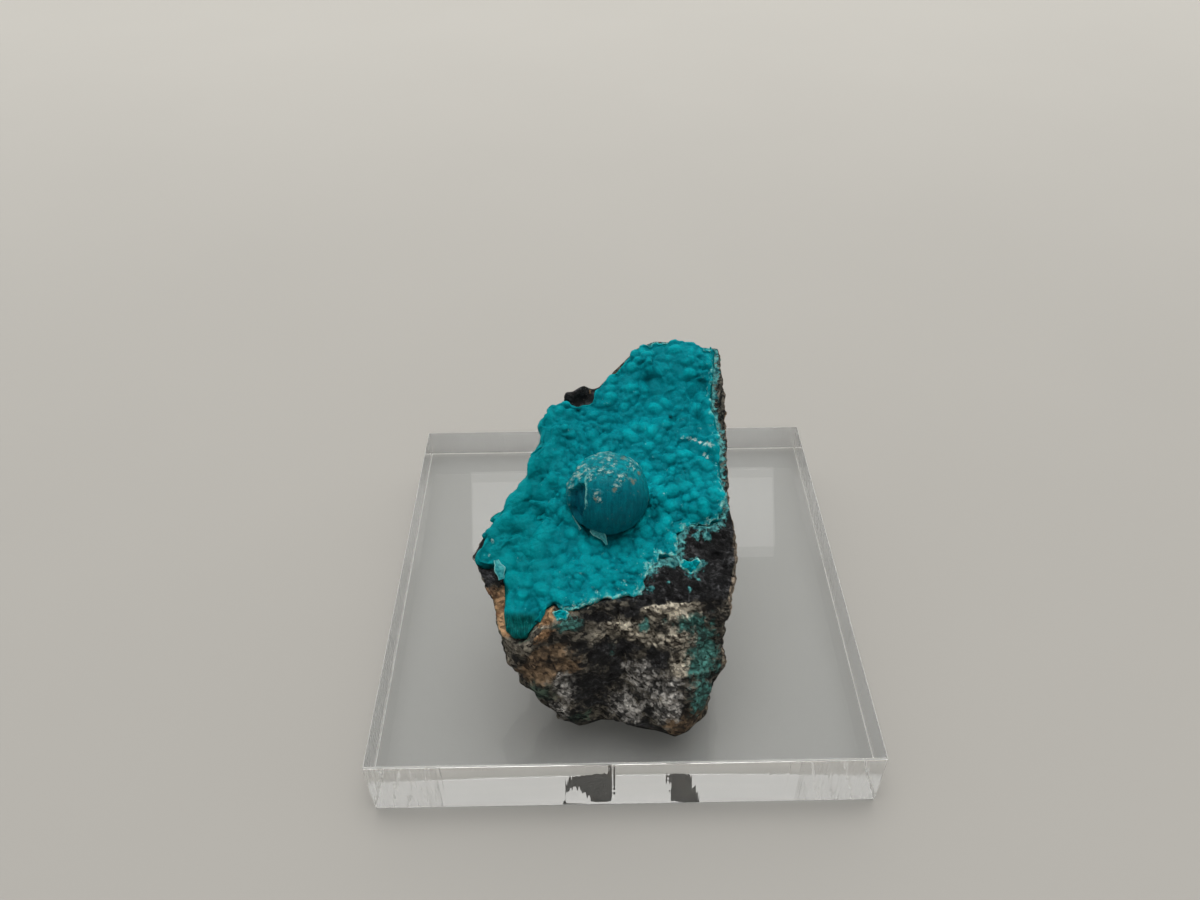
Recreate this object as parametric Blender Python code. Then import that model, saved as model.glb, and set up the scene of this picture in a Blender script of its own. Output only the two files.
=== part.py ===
"""Chrysocolla specimen on a square slab of clear acrylic.

A broken piece of dark matrix stands on the slab. Its upper face slopes down
towards the front and carries a crust of bubbly blue-green chrysocolla, with
one large ball grown in its middle. The origin is the centre of the slab's
underside, +X to the right, +Y to the back and +Z up, in metres.

Places on the sloping face are given as s, t, h: s along +X, t up the slope
from the front edge and h out of the face.
"""
import math

import bpy
import numpy as np
from mathutils.geometry import delaunay_2d_cdt

MM = 0.001

# Acrylic slab
SLAB_WIDTH = 50 * MM
SLAB_THICKNESS = 7.5 * MM
SLAB_BEVEL = 0.35 * MM
SLAB_BEVEL_SEGMENTS = 2

# Gap kept between pieces that touch
GAP = 0.3 * MM

# Sloping face that carries the crust
FACE_FRONT_Y = -17.9 * MM
FACE_FRONT_Z = 22.8 * MM
FACE_TILT = math.radians(23.3)

# Crust
CRUST_DEPTH = 1.0 * MM
CRUST_STEP = 0.62 * MM
CRUST_LOWEST_RIM = -0.45 * MM
RIM_WIDTH = 0.7 * MM
RIM_DROP = 0.5 * MM
SWELL_CELL = 5.0 * MM
SWELL_HEIGHT = 0.45 * MM
FRONT_LOBE_S = -8.5 * MM
FRONT_LOBE_DROP = 0.22
WING_S = -10.4 * MM
WING_DROP = 0.28

# Bubbles on the crust
BUBBLE_RADIUS = 0.66 * MM
BUBBLE_SPREAD = 0.2
BUBBLE_EDGE_GROWTH = 0.35
BUBBLE_OVERLAP = 0.88
BUBBLE_SIDES = 6
BUBBLE_SHOULDER = 0.6
BUBBLE_REACH = 1.3
BUBBLE_CANDIDATES = 9000
BUBBLE_SEED = 11
LARGE_BUBBLES = np.array([
    (7.2, 9.7, 2.1), (4.6, 11.5, 1.3), (-5.6, 17.3, 1.25), (-7.4, 14.9, 1.15),
    (-6.6, 12.2, 1.2), (-9.0, 10.2, 1.1), (-11.0, 8.3, 1.0), (-11.6, 5.6, 1.3),
    (-9.0, 1.4, 1.2), (-4.6, 2.6, 1.0), (-9.3, -1.5, 1.3), (3.0, 25.0, 1.1),
]) * MM

# Large ball
BALL_S = -1.2 * MM
BALL_T = 9.8 * MM
BALL_H = 1.5 * MM
BALL_RADIUS = 3.9 * MM
BALL_NECK_H = -0.4 * MM
BALL_SIDES = 32
BALL_ROWS = 9
BALL_MOAT = 0.9 * MM
BALL_SHELL_S = -2.2 * MM
BALL_SHELL_STEP = 0.45 * MM

# Matrix rock
ROCK_TOP_H = -CRUST_DEPTH - GAP
ROCK_STEP = 0.95 * MM
ROCK_ROWS = 17
ROCK_BARE_STEP = 0.75 * MM
ROCK_BARE_MARGIN = 0.45 * MM
ROCK_BARE_RISE = 0.75 * MM
ROCK_COARSE_CELL = 4.2 * MM
ROCK_COARSE_DEPTH = 0.75 * MM
ROCK_FINE_CELL = 1.7 * MM
ROCK_FINE_DEPTH = 0.4 * MM
ROCK_LEDGES = 2.5
ROCK_CORNER_BULGE = 0.8 * MM
ROCK_CORNER_DIRECTION = math.radians(-125)
ROCK_RIGHT_BULGE = 1.1 * MM
ROCK_RIGHT_DIRECTION = math.radians(-25)
ROCK_FOOT_STEP = 1.7 * MM
HOLLOW_X = 2.0 * MM
HOLLOW_BACK_Y = -1.0 * MM
HOLLOW_FRONT_Y = -13.0 * MM
HOLLOW_RADIUS = 3.2 * MM
HOLLOW_LIFT = 1.6 * MM

# Outline of the crust on the sloping face, anticlockwise from the front, s and t
CRUST_OUTLINE = np.array([
    (0.0, 0.2), (1.7, 0.7), (2.2, 2.4), (2.8, 3.6), (5.1, 4.3), (5.4, 6.4),
    (8.0, 6.5), (9.2, 7.6), (9.9, 9.6), (9.6, 12.0), (9.8, 15.0), (9.9, 17.6),
    (9.4, 19.2), (9.5, 22.0), (9.9, 24.5), (10.2, 26.9), (8.5, 27.1), (6.5, 27.7),
    (4.0, 27.9), (2.4, 27.1), (1.0, 25.6), (-0.8, 23.6), (-2.1, 22.2), (-2.6, 20.8),
    (-5.4, 20.0), (-6.9, 19.5), (-7.2, 18.5), (-8.2, 16.3), (-9.1, 14.8), (-9.1, 13.5),
    (-10.3, 11.1), (-12.0, 8.7), (-12.8, 7.4), (-13.3, 5.1), (-12.8, 4.1), (-11.8, 3.4),
    (-10.8, 2.1), (-10.7, -0.8), (-10.2, -2.3), (-9.3, -2.8), (-8.7, -2.5),
    (-7.8, -1.3), (-6.9, -0.9), (-5.8, -1.6), (-4.5, -1.2), (-2.2, -0.1),
]) * MM

# Outline of the rock's top on the same face, anticlockwise from the front
ROCK_OUTLINE = np.array([
    (1.7, -0.4), (6.0, -0.1), (9.3, 0.1), (10.0, 3.0), (10.3, 7.0), (10.2, 10.8),
    (10.5, 15.5), (10.5, 20.4), (10.6, 24.0), (10.5, 27.2), (8.6, 27.4), (6.5, 28.0),
    (4.0, 28.2), (2.2, 27.4), (0.0, 25.0), (-1.9, 22.8), (-3.6, 22.2), (-5.2, 21.8),
    (-5.9, 20.3), (-7.2, 19.8), (-7.6, 18.5), (-8.5, 16.4), (-9.4, 14.8), (-9.5, 13.5),
    (-10.6, 11.2), (-12.3, 8.8), (-13.2, 7.4), (-13.7, 5.1), (-13.2, 3.6), (-12.2, 2.5),
    (-11.3, 1.0), (-11.1, -1.0), (-10.6, -2.6), (-9.5, -3.2), (-8.4, -2.9),
    (-7.4, -1.7), (-5.7, -2.1), (-4.2, -1.6), (-2.0, -0.5),
]) * MM

# Outline of the rock's foot on the slab, anticlockwise from the front, x and y
FOOT_OUTLINE = np.array([
    (4.9, -22.2), (6.2, -21.7), (7.6, -20.3), (8.2, -17.5), (8.2, -12.0),
    (7.2, -6.0), (4.5, -3.6), (0.5, -4.6), (-3.5, -3.6), (-5.8, -6.0),
    (-6.3, -11.0), (-6.5, -16.5), (-5.9, -20.3), (-4.4, -20.9), (-2.2, -20.1),
    (-0.6, -20.3), (0.8, -21.1), (3.0, -21.5),
]) * MM

# Material values: colour, roughness, metallic
ACRYLIC_FINISH = ((0.86, 0.88, 0.86), 0.05, 0.0)
MATRIX_FINISH = ((0.09, 0.08, 0.07), 0.85, 0.0)
CRUST_FINISH = ((0.0, 0.24, 0.27), 0.5, 0.0)


def clear_scene():
    """Remove every object that the scene starts with."""
    for old in list(bpy.data.objects):
        bpy.data.objects.remove(old, do_unlink=True)


def principled(name, finish):
    """Material with a plain colour, roughness and metallic value."""
    colour, roughness, metallic = finish
    material = bpy.data.materials.new(name)
    material.use_nodes = True
    shader = material.node_tree.nodes["Principled BSDF"]
    shader.inputs["Base Color"].default_value = (*colour, 1.0)
    shader.inputs["Roughness"].default_value = roughness
    shader.inputs["Metallic"].default_value = metallic
    return material


def add_object(name, points, triangles, material, sharp_angle):
    """Mesh object made from world points and triangles, smooth up to an angle."""
    mesh = bpy.data.meshes.new(name)
    mesh.from_pydata([tuple(point) for point in points], [], [tuple(face) for face in triangles])
    mesh.update()
    mesh.shade_smooth()
    mesh.set_sharp_from_angle(angle=math.radians(sharp_angle))
    mesh.materials.append(material)
    new_object = bpy.data.objects.new(name, mesh)
    bpy.context.scene.collection.objects.link(new_object)
    return new_object


def smooth_step(low, high, value):
    """Rise from 0 at low to 1 at high with level ends."""
    share = np.clip((value - low) / (high - low), 0.0, 1.0)
    return share * share * (3.0 - 2.0 * share)


def lattice_value(i, j, k, seed):
    """Fixed pseudo-random value from -1 to 1 at whole-number places."""
    mixed = (i * 374761393 + j * 668265263 + k * 1274126177 + seed * 974634777) & 0xFFFFFFFF
    mixed = ((mixed ^ (mixed >> 13)) * 1103515245) & 0xFFFFFFFF
    mixed = mixed ^ (mixed >> 16)
    return (mixed & 0xFFFF) / 32767.5 - 1.0


def value_noise(points, cell, seed):
    """Smooth noise from -1 to 1 on 3-D points, blended between lattice values."""
    scaled = points / cell
    corner = np.floor(scaled).astype(np.int64)
    share = scaled - corner
    share = share * share * (3.0 - 2.0 * share)
    total = np.zeros(len(points))
    for di in (0, 1):
        for dj in (0, 1):
            for dk in (0, 1):
                weight = np.where(di, share[:, 0], 1 - share[:, 0])
                weight = weight * np.where(dj, share[:, 1], 1 - share[:, 1])
                weight = weight * np.where(dk, share[:, 2], 1 - share[:, 2])
                value = lattice_value(corner[:, 0] + di, corner[:, 1] + dj, corner[:, 2] + dk, seed)
                total += weight * value
    return total


def face_to_world(s, t, h):
    """World points of places on the sloping face."""
    y = FACE_FRONT_Y + t * math.cos(FACE_TILT) - h * math.sin(FACE_TILT)
    z = FACE_FRONT_Z + t * math.sin(FACE_TILT) + h * math.cos(FACE_TILT)
    return np.stack([s, y, z], axis=1)


def resample(outline, step):
    """Points at even distances of about step round a closed outline."""
    closed = np.vstack([outline, outline[:1]])
    lengths = np.hypot(*np.diff(closed, axis=0).T)
    travelled = np.concatenate([[0.0], np.cumsum(lengths)])
    count = int(round(travelled[-1] / step))
    places = np.arange(count) * travelled[-1] / count
    return np.stack([np.interp(places, travelled, closed[:, axis]) for axis in (0, 1)], axis=1)


def outline_distance(points, outline):
    """Distance from points to a closed outline, negative inside it."""
    start = outline
    run = np.roll(outline, -1, axis=0) - outline
    offset = points[:, None, :] - start[None, :, :]
    share = np.clip((offset * run).sum(axis=2) / (run * run).sum(axis=1), 0.0, 1.0)
    distance = np.linalg.norm(offset - share[:, :, None] * run, axis=2).min(axis=1)
    above = start[None, :, 1] > points[:, 1, None]
    above_next = np.roll(above, -1, axis=1)
    crossing = offset[:, :, 0] < offset[:, :, 1] * run[:, 0] / np.where(run[:, 1] == 0, 1e-12, run[:, 1])
    inside = ((above != above_next) & crossing).sum(axis=1) % 2 == 1
    return np.where(inside, -distance, distance)


def grid_points(outline, step):
    """Rows of staggered points, a step apart, over an outline's box."""
    low = outline.min(axis=0)
    high = outline.max(axis=0)
    row_step = step * math.sqrt(0.75)
    rows = np.arange(low[1], high[1], row_step)
    columns = np.arange(low[0], high[0], step)
    s, t = np.meshgrid(columns, rows)
    s = s + 0.5 * step * (np.arange(len(rows)) % 2)[:, None]
    return np.stack([s.ravel(), t.ravel()], axis=1)


def fill_outline(loops, inner):
    """Triangles over closed loops and the points inside them, facing up."""
    points = []
    edges = []
    for loop in loops:
        first = len(points)
        points += [tuple(point) for point in loop]
        edges += [(first + i, first + (i + 1) % len(loop)) for i in range(len(loop))]
    points += [tuple(point) for point in inner]
    flat, _, faces, _, _, _ = delaunay_2d_cdt(points, edges, [], 1, 1e-9)
    return np.array([tuple(point) for point in flat]), np.array(faces)


def border_loops(triangles):
    """Loops of vertices along the sides that only one triangle uses, in face order."""
    sides = {(a, b) for tri in triangles.tolist() for a, b in zip(tri, tri[1:] + tri[:1])}
    onward = {a: b for a, b in sides if (b, a) not in sides}
    loops = []
    while onward:
        start = next(iter(sorted(onward)))
        loop = [start]
        following = onward.pop(start)
        while following != start:
            loop.append(following)
            following = onward.pop(following)
        loops.append(loop)
    return sorted(loops, key=len, reverse=True)


def wall(upper, lower):
    """Triangles between two loops of the same length, the upper one in face order."""
    faces = []
    for i, top in enumerate(upper):
        after = (i + 1) % len(upper)
        faces.append((upper[after], top, lower[i]))
        faces.append((upper[after], lower[i], lower[after]))
    return faces


def bubble_radius(points):
    """Radius of the bubbles, larger towards the left edge of the crust."""
    growth = 1.0 + BUBBLE_EDGE_GROWTH * smooth_step(1 * MM, -8 * MM, points[:, 0])
    spread = 1.0 + BUBBLE_SPREAD * value_noise(np.pad(points, ((0, 0), (0, 1))), 1.3 * MM, 5)
    return BUBBLE_RADIUS * growth * spread


def bubble_places():
    """Centres and radii of the bubbles, thrown at random and kept where there is room."""
    random = np.random.RandomState(BUBBLE_SEED)
    low = CRUST_OUTLINE.min(axis=0)
    high = CRUST_OUTLINE.max(axis=0)
    thrown = low + (high - low) * random.random_sample((BUBBLE_CANDIDATES, 2))
    radii = bubble_radius(thrown)
    from_edge = -outline_distance(thrown, CRUST_OUTLINE)
    from_ball = np.hypot(thrown[:, 0] - BALL_S, thrown[:, 1] - BALL_T) - BALL_RADIUS
    room = (from_edge > 0.6 * radii) & (from_ball > 0.75 * radii)
    kept = LARGE_BUBBLES.copy()
    for centre, radius in zip(thrown[room], radii[room]):
        apart = np.hypot(kept[:, 0] - centre[0], kept[:, 1] - centre[1])
        if (apart > BUBBLE_OVERLAP * (kept[:, 2] + radius)).all():
            kept = np.vstack([kept, (*centre, radius)])
    return kept


def crust_height(points, bubbles):
    """Height of the crust's surface: slow swells, bubbles on them and a rounded rim."""
    s, t = points.T
    swell = SWELL_HEIGHT * value_noise(np.pad(points, ((0, 0), (0, 1))), SWELL_CELL, 3)
    lobe = smooth_step(-6.5 * MM, FRONT_LOBE_S, s) * np.maximum(0.5 * MM - t, 0.0)
    wing = np.maximum(WING_S - s, 0.0)
    base = swell - FRONT_LOBE_DROP * lobe - WING_DROP * wing
    apart = np.hypot(s[:, None] - bubbles[:, 0], t[:, None] - bubbles[:, 1])
    domes = bubbles[:, 2] * np.sqrt(np.clip(1.0 - (apart / (BUBBLE_REACH * bubbles[:, 2])) ** 2, 0.0, 1.0))
    height = base + domes.max(axis=1)
    from_edge = -outline_distance(points, CRUST_OUTLINE)
    height -= RIM_DROP * (1.0 - smooth_step(0.0, RIM_WIDTH, from_edge))
    from_ball = np.hypot(s - BALL_S, t - BALL_T)
    neck = math.sqrt(BALL_RADIUS ** 2 - (BALL_H - BALL_NECK_H) ** 2)
    open_ground = smooth_step(neck, neck + BALL_MOAT, from_ball)
    height = BALL_NECK_H + (height - BALL_NECK_H) * open_ground
    return np.maximum(height, CRUST_LOWEST_RIM)


def ball_rows(ring):
    """Rows of points that carry the ball up from its neck, with a split outer shell."""
    lowest = math.asin((BALL_NECK_H - BALL_H) / BALL_RADIUS)
    around = np.arctan2(ring[:, 1] - BALL_T, ring[:, 0] - BALL_S)
    rows = []
    for row in range(1, BALL_ROWS):
        lift = lowest + (math.pi / 2 - lowest) * row / BALL_ROWS
        outward_s = np.cos(around) * math.cos(lift)
        radius = np.where(outward_s * BALL_RADIUS < BALL_SHELL_S, BALL_RADIUS, BALL_RADIUS - BALL_SHELL_STEP)
        s = BALL_S + radius * outward_s
        t = BALL_T + radius * np.sin(around) * math.cos(lift)
        h = BALL_H + radius * math.sin(lift)
        rows.append(face_to_world(s, t, h))
    return rows


def bubble_points(bubbles, rim, ring):
    """Points on the bubbles: tops, shoulders round them, and the hollows between them."""
    turn = np.arange(BUBBLE_SIDES) * 2 * math.pi / BUBBLE_SIDES
    round_top = BUBBLE_SHOULDER * np.stack([np.cos(turn), np.sin(turn)], axis=1)
    shoulders = bubbles[:, None, :2] + bubbles[:, None, 2:] * round_top[None, :, :]
    flat, faces = fill_outline([rim], bubbles[:, :2])
    hollows = flat[faces].mean(axis=1)
    points = np.vstack([bubbles[:, :2], shoulders.reshape(-1, 2), hollows])
    clear = (outline_distance(points, rim) < -0.25 * MM) & (outline_distance(points, ring) > 0.2 * MM)
    return points[clear]


def make_crust():
    """Closed crust: bubbly top, upright rim, flat underside, and the ball grown on it."""
    bubbles = bubble_places()
    neck = math.sqrt(BALL_RADIUS ** 2 - (BALL_H - BALL_NECK_H) ** 2)
    turn = np.arange(BALL_SIDES) * 2 * math.pi / BALL_SIDES
    ring = np.stack([BALL_S + neck * np.cos(turn), BALL_T + neck * np.sin(turn)], axis=1)
    rim = resample(CRUST_OUTLINE, CRUST_STEP)
    flat, faces = fill_outline([rim, ring], bubble_points(bubbles, rim, ring))
    on_neck = np.hypot(flat[:, 0] - BALL_S, flat[:, 1] - BALL_T) < neck + 1e-6
    faces = faces[~on_neck[faces].all(axis=1)]
    outer, inner = border_loops(faces)

    points = face_to_world(flat[:, 0], flat[:, 1], crust_height(flat, bubbles))
    faces = faces.tolist()

    below = face_to_world(flat[outer, 0], flat[outer, 1], np.full(len(outer), -CRUST_DEPTH))
    below_place = list(range(len(points), len(points) + len(outer)))
    points = np.vstack([points, below])
    faces += wall(outer, below_place)
    under, under_faces = fill_outline([flat[outer]], [])
    nearest = np.hypot(*(under[:, None, :] - flat[outer][None, :, :]).transpose(2, 0, 1)).argmin(axis=1)
    faces += [tuple(below_place[nearest[corner]] for corner in face[::-1]) for face in under_faces.tolist()]

    previous = inner
    for row in ball_rows(flat[inner]):
        this_row = list(range(len(points), len(points) + len(row)))
        points = np.vstack([points, row])
        faces += wall(previous, this_row)
        previous = this_row
    pole = face_to_world(*np.array([[BALL_S], [BALL_T], [BALL_H + BALL_RADIUS - BALL_SHELL_STEP]]))
    points = np.vstack([points, pole])
    top = len(points) - 1
    count = len(previous)
    faces += [(previous[(i + 1) % count], previous[i], top) for i in range(count)]
    return add_object("chrysocolla_crust", points, faces, principled("chrysocolla", CRUST_FINISH), 60)


def foot_lift(points):
    """Height of the foot's underside above the slab, with a hollow open to the back."""
    along = np.clip(points[:, 1], HOLLOW_FRONT_Y, HOLLOW_BACK_Y)
    apart = np.hypot(points[:, 0] - HOLLOW_X, points[:, 1] - along)
    return GAP + HOLLOW_LIFT * (1.0 - smooth_step(0.4 * HOLLOW_RADIUS, HOLLOW_RADIUS, apart))


def rock_top_height(points):
    """Height of the rock's top: flat under the crust and higher where it is bare."""
    outside = outline_distance(points, CRUST_OUTLINE)
    bare = smooth_step(ROCK_BARE_MARGIN, 3 * ROCK_BARE_MARGIN, outside)
    rough = 1.0 + 0.5 * value_noise(np.pad(points, ((0, 0), (0, 1))), ROCK_FINE_CELL, 21)
    return ROCK_TOP_H + ROCK_BARE_RISE * bare * rough


def foot_points(top_loop):
    """Foot outline points in the same directions from its middle as the top loop's."""
    top_middle = top_loop[:, :2].mean(axis=0)
    foot = resample(FOOT_OUTLINE, 0.2 * MM)
    foot_middle = foot.mean(axis=0)
    direction = np.arctan2(*(top_loop[:, :2] - top_middle).T[::-1])
    foot_direction = np.arctan2(*(foot - foot_middle).T[::-1])
    reach = np.hypot(*(foot - foot_middle).T)
    order = np.argsort(foot_direction)
    length = np.interp(direction, foot_direction[order], reach[order], period=2 * math.pi)
    return foot_middle + length[:, None] * np.stack([np.cos(direction), np.sin(direction)], axis=1)


def rock_rows(top_loop, foot_loop):
    """Rows of points down the sides, from the top loop to the foot loop, broken and lumpy."""
    outward = top_loop[:, :2] - top_loop[:, :2].mean(axis=0)
    outward = outward / np.hypot(*outward.T)[:, None]
    corner = (math.cos(ROCK_CORNER_DIRECTION), math.sin(ROCK_CORNER_DIRECTION))
    right = (math.cos(ROCK_RIGHT_DIRECTION), math.sin(ROCK_RIGHT_DIRECTION))
    bulge = ROCK_CORNER_BULGE * smooth_step(0.8, 1.0, outward @ corner)
    bulge = bulge + ROCK_RIGHT_BULGE * smooth_step(0.4, 0.9, outward @ right)
    rows = []
    for row in range(1, ROCK_ROWS):
        share = row / ROCK_ROWS
        points = top_loop * (1 - share) + foot_loop * share
        push = 4 * share * (1 - share) * bulge
        fade = smooth_step(0.0, 0.15, share) * smooth_step(1.0, 0.9, share)
        level = ROCK_LEDGES * value_noise(points, ROCK_COARSE_CELL, 31)
        step = np.floor(level) + smooth_step(0.3, 0.7, level - np.floor(level))
        coarse = ROCK_COARSE_DEPTH * step / ROCK_LEDGES
        fine = ROCK_FINE_DEPTH * value_noise(points, ROCK_FINE_CELL, 32)
        points[:, :2] += outward * (push + fade * (coarse + fine))[:, None]
        rows.append(points)
    return rows


def make_rock():
    """Closed rock: stepped top, rough sides and a foot with a hollow under its back."""
    loop = resample(ROCK_OUTLINE, ROCK_STEP)
    grid = grid_points(ROCK_OUTLINE, ROCK_BARE_STEP)
    within = -outline_distance(grid, ROCK_OUTLINE) > 0.5 * ROCK_BARE_STEP
    bare = outline_distance(grid, CRUST_OUTLINE) > -ROCK_BARE_MARGIN
    flat, top_faces = fill_outline([loop], grid[within & bare])
    points = face_to_world(flat[:, 0], flat[:, 1], rock_top_height(flat))
    faces = top_faces.tolist()
    upper = border_loops(top_faces)[0]

    top_loop = points[upper]
    foot_flat = foot_points(top_loop)
    foot_z = SLAB_THICKNESS + foot_lift(foot_flat)
    foot_loop = np.column_stack([foot_flat, foot_z])
    previous = upper
    for row in rock_rows(top_loop, foot_loop) + [foot_loop]:
        this_row = list(range(len(points), len(points) + len(row)))
        points = np.vstack([points, row])
        faces += wall(previous, this_row)
        previous = this_row

    grid = grid_points(FOOT_OUTLINE, ROCK_FOOT_STEP)
    within = -outline_distance(grid, foot_flat) > 0.5 * ROCK_FOOT_STEP
    under, under_faces = fill_outline([foot_flat], grid[within])
    apart = np.hypot(*(under[:, None, :] - foot_flat[None, :, :]).transpose(2, 0, 1))
    place = np.where(apart.min(axis=1) < 1e-7, apart.argmin(axis=1) + previous[0], -1)
    new = place < 0
    place[new] = len(points) + np.arange(new.sum())
    points = np.vstack([points, np.column_stack([under[new], SLAB_THICKNESS + foot_lift(under[new])])])
    faces += place[under_faces[:, ::-1]].tolist()
    return add_object("matrix_rock", points, faces, principled("matrix", MATRIX_FINISH), 35)


def make_slab():
    """Square acrylic slab with its edges bevelled."""
    bpy.ops.mesh.primitive_cube_add(size=1.0)
    slab = bpy.context.active_object
    slab.name = "acrylic_base"
    half = SLAB_WIDTH / 2
    for vertex in slab.data.vertices:
        vertex.co.x = math.copysign(half, vertex.co.x)
        vertex.co.y = math.copysign(half, vertex.co.y)
        vertex.co.z = SLAB_THICKNESS if vertex.co.z > 0 else 0.0
    bevel = slab.modifiers.new("edges", "BEVEL")
    bevel.width = SLAB_BEVEL
    bevel.segments = SLAB_BEVEL_SEGMENTS
    slab.data.materials.append(principled("acrylic", ACRYLIC_FINISH))
    return slab


clear_scene()
make_slab()
make_rock()
make_crust()
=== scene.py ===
"""Looks of a chrysocolla specimen that stands on a slab of clear acrylic.

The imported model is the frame. Finer pieces stand for its three nodes: the slab with its
sawn sides, the broken matrix rock, and the bubbly crust with its large split ball, the thin
chips beside it and two rests of crust on the bare rock. Each piece keeps to the form and
place of the node it replaces.

Places on the rock's sloping face are given as s, t, h: s along +X, t up the slope from the
front edge and h out of the face. Everything is in metres, with the origin at the centre of
the slab's underside.
"""

import math

import bpy
import numpy as np
from mathutils import Matrix, Vector


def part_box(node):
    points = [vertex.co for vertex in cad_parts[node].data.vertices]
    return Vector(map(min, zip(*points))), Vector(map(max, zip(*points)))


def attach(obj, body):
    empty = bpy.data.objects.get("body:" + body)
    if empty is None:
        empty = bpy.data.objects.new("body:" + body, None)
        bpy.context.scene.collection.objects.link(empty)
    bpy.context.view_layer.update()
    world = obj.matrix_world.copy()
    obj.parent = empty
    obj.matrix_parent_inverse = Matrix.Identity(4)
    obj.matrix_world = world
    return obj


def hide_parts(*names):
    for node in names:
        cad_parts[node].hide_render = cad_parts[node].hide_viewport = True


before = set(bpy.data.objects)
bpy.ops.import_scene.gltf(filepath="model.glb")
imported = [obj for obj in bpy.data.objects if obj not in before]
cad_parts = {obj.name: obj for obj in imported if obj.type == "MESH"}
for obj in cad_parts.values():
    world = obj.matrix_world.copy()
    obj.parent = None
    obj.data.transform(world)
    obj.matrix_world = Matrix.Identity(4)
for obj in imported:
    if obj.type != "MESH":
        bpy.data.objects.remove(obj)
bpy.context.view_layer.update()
slab_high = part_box("acrylic_base")[1]

MM = 0.001
BLACK = (0.0, 0.0, 0.0, 1.0)
WHITE = (1.0, 1.0, 1.0, 1.0)

# Slab, from the frame
SLAB_HALF = slab_high.x
SLAB_TOP = slab_high.z
SLAB_BEVEL = 0.16 * MM
SLAB_BEVEL_ROWS = 4
SLAB_EDGE_HOLD = 0.03 * MM
SLAB_SIDE_STEP = 0.065 * MM
SAW_MARK_DEPTH = 0.007 * MM
SAW_MARK_WIDTH = 0.24 * MM
SAW_SCRATCH_DEPTH = 0.003 * MM
SIDE_FROSTING = 0.06

# Sloping face that carries the crust
FACE_FRONT_Y = -17.9 * MM
FACE_FRONT_Z = 22.8 * MM
FACE_TILT = math.radians(23.3)

# Studio light: a surround that is brighter behind than in front, a soft key overhead and a
# strip light behind
SURROUND_FRONT = 0.24
SURROUND_BACK = 0.64
KEY_STRENGTH = 5.9
KEY_DIRECTION = (0.01, 0.03, 0.9995)
KEY_OUTER_ANGLE = math.radians(28)
KEY_INNER_ANGLE = math.radians(10)
STRIP_PLACE = (0.011, 0.29, 0.28)
STRIP_TARGET = (0.011, 0.0, 0.01)
STRIP_SIZE = (0.164, 0.043)
STRIP_WATTS = 0.02

# Camera, at the photograph's place
CAMERA_PLACE = (-2.11 * MM, -72.77 * MM, 87.49 * MM)
CAMERA_YAW = math.radians(-0.1806)
CAMERA_PITCH = math.radians(90 - 40.53)
CAMERA_ROLL = math.radians(-0.8713)
CAMERA_LENS = 27.963
FLOOR_REACH = 3.0
FLOOR_TOP = -0.2 * MM

# Crust
CRUST_UNDERSIDE = -1.25 * MM
CRUST_COLUMNS = 720
CRUST_TOP_ROWS = 112
CRUST_LIP_ROWS = 8
CRUST_SIDE_ROWS = 7
CRUST_UNDER_ROWS = 3
CRUST_INNER_RADIUS = 3.0 * MM
CRUST_LIP = 0.5 * MM
CRUST_LOWEST_LIP = -0.35 * MM
EDGE_WAVER = 0.15 * MM
LEFT_LOBE_CELL = 1.9 * MM
LEFT_LOBE_RADII = (0.7 * MM, 1.15 * MM)
LEFT_LOBE_SHARE = 0.85
EDGE_BREAKS = 0.85 * MM
EDGE_THINNING = 0.5 * MM
RIM_WIDTH = 0.8 * MM
RIM_STRENGTH = 0.66
SWELL_CELL = 5.0 * MM
SWELL_HEIGHT = 0.45 * MM
FRONT_LOBE_S = -8.5 * MM
FRONT_LOBE_DROP = 0.22
WING_S = -10.4 * MM
WING_DROP = 0.28

# Bubbles on the crust
BUBBLE_CELL = 1.0 * MM
LARGE_BUBBLE_CELL = 1.65 * MM
BROAD_LUMP_CELL = 2.8 * MM
BROAD_LUMP_SHARE = 0.26
SMALL_BUBBLE_CELL = 0.55 * MM
TINY_BUBBLE_CELL = 0.34 * MM
TINY_BUBBLE_SHARE = 0.22
BUBBLE_BLEND = 6.0
BUBBLE_LEVEL = 0.52 * MM
BUBBLE_RELIEF = 0.95
FRONT_RELIEF = 0.66
BUBBLE_WARP = 0.28 * MM
WARP_CELL = 2.6 * MM

# Mounds and hollows under the bubbles: s, t, radius and height
CRUST_MOUNDS = np.array([
    (2.9, 9.8, 2.2, 1.6), (7.2, 9.7, 3.0, 0.9), (4.6, 11.5, 2.0, 0.5), (-5.6, 17.3, 1.9, 0.75),
    (-7.4, 14.9, 1.7, 0.6), (-6.6, 12.2, 1.8, 0.55), (-9.0, 10.2, 1.5, 0.4), (-11.0, 8.3, 1.5, 0.55),
    (-11.6, 5.6, 1.9, 0.6), (-9.0, 1.4, 2.0, 0.6), (-4.6, 2.6, 1.8, 0.5), (-9.3, -1.5, 1.8, 0.7),
    (3.0, 25.0, 1.8, 0.6), (4.5, 17.6, 2.2, 0.55), (9.0, 15.8, 1.6, 0.5), (0.5, 2.6, 2.4, 0.4),
    (7.5, 25.5, 2.0, 0.4), (1.9, 19.6, 2.0, -0.55), (5.6, 20.3, 1.7, -0.5), (3.4, 22.3, 1.6, -0.4),
    (8.2, 21.8, 1.5, -0.5), (7.2, 15.2, 1.8, -0.45), (-8.4, 8.6, 1.6, -0.4), (-9.6, 4.9, 1.6, -0.5),
    (-2.5, 15.8, 2.2, -0.3),
]) * MM

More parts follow.
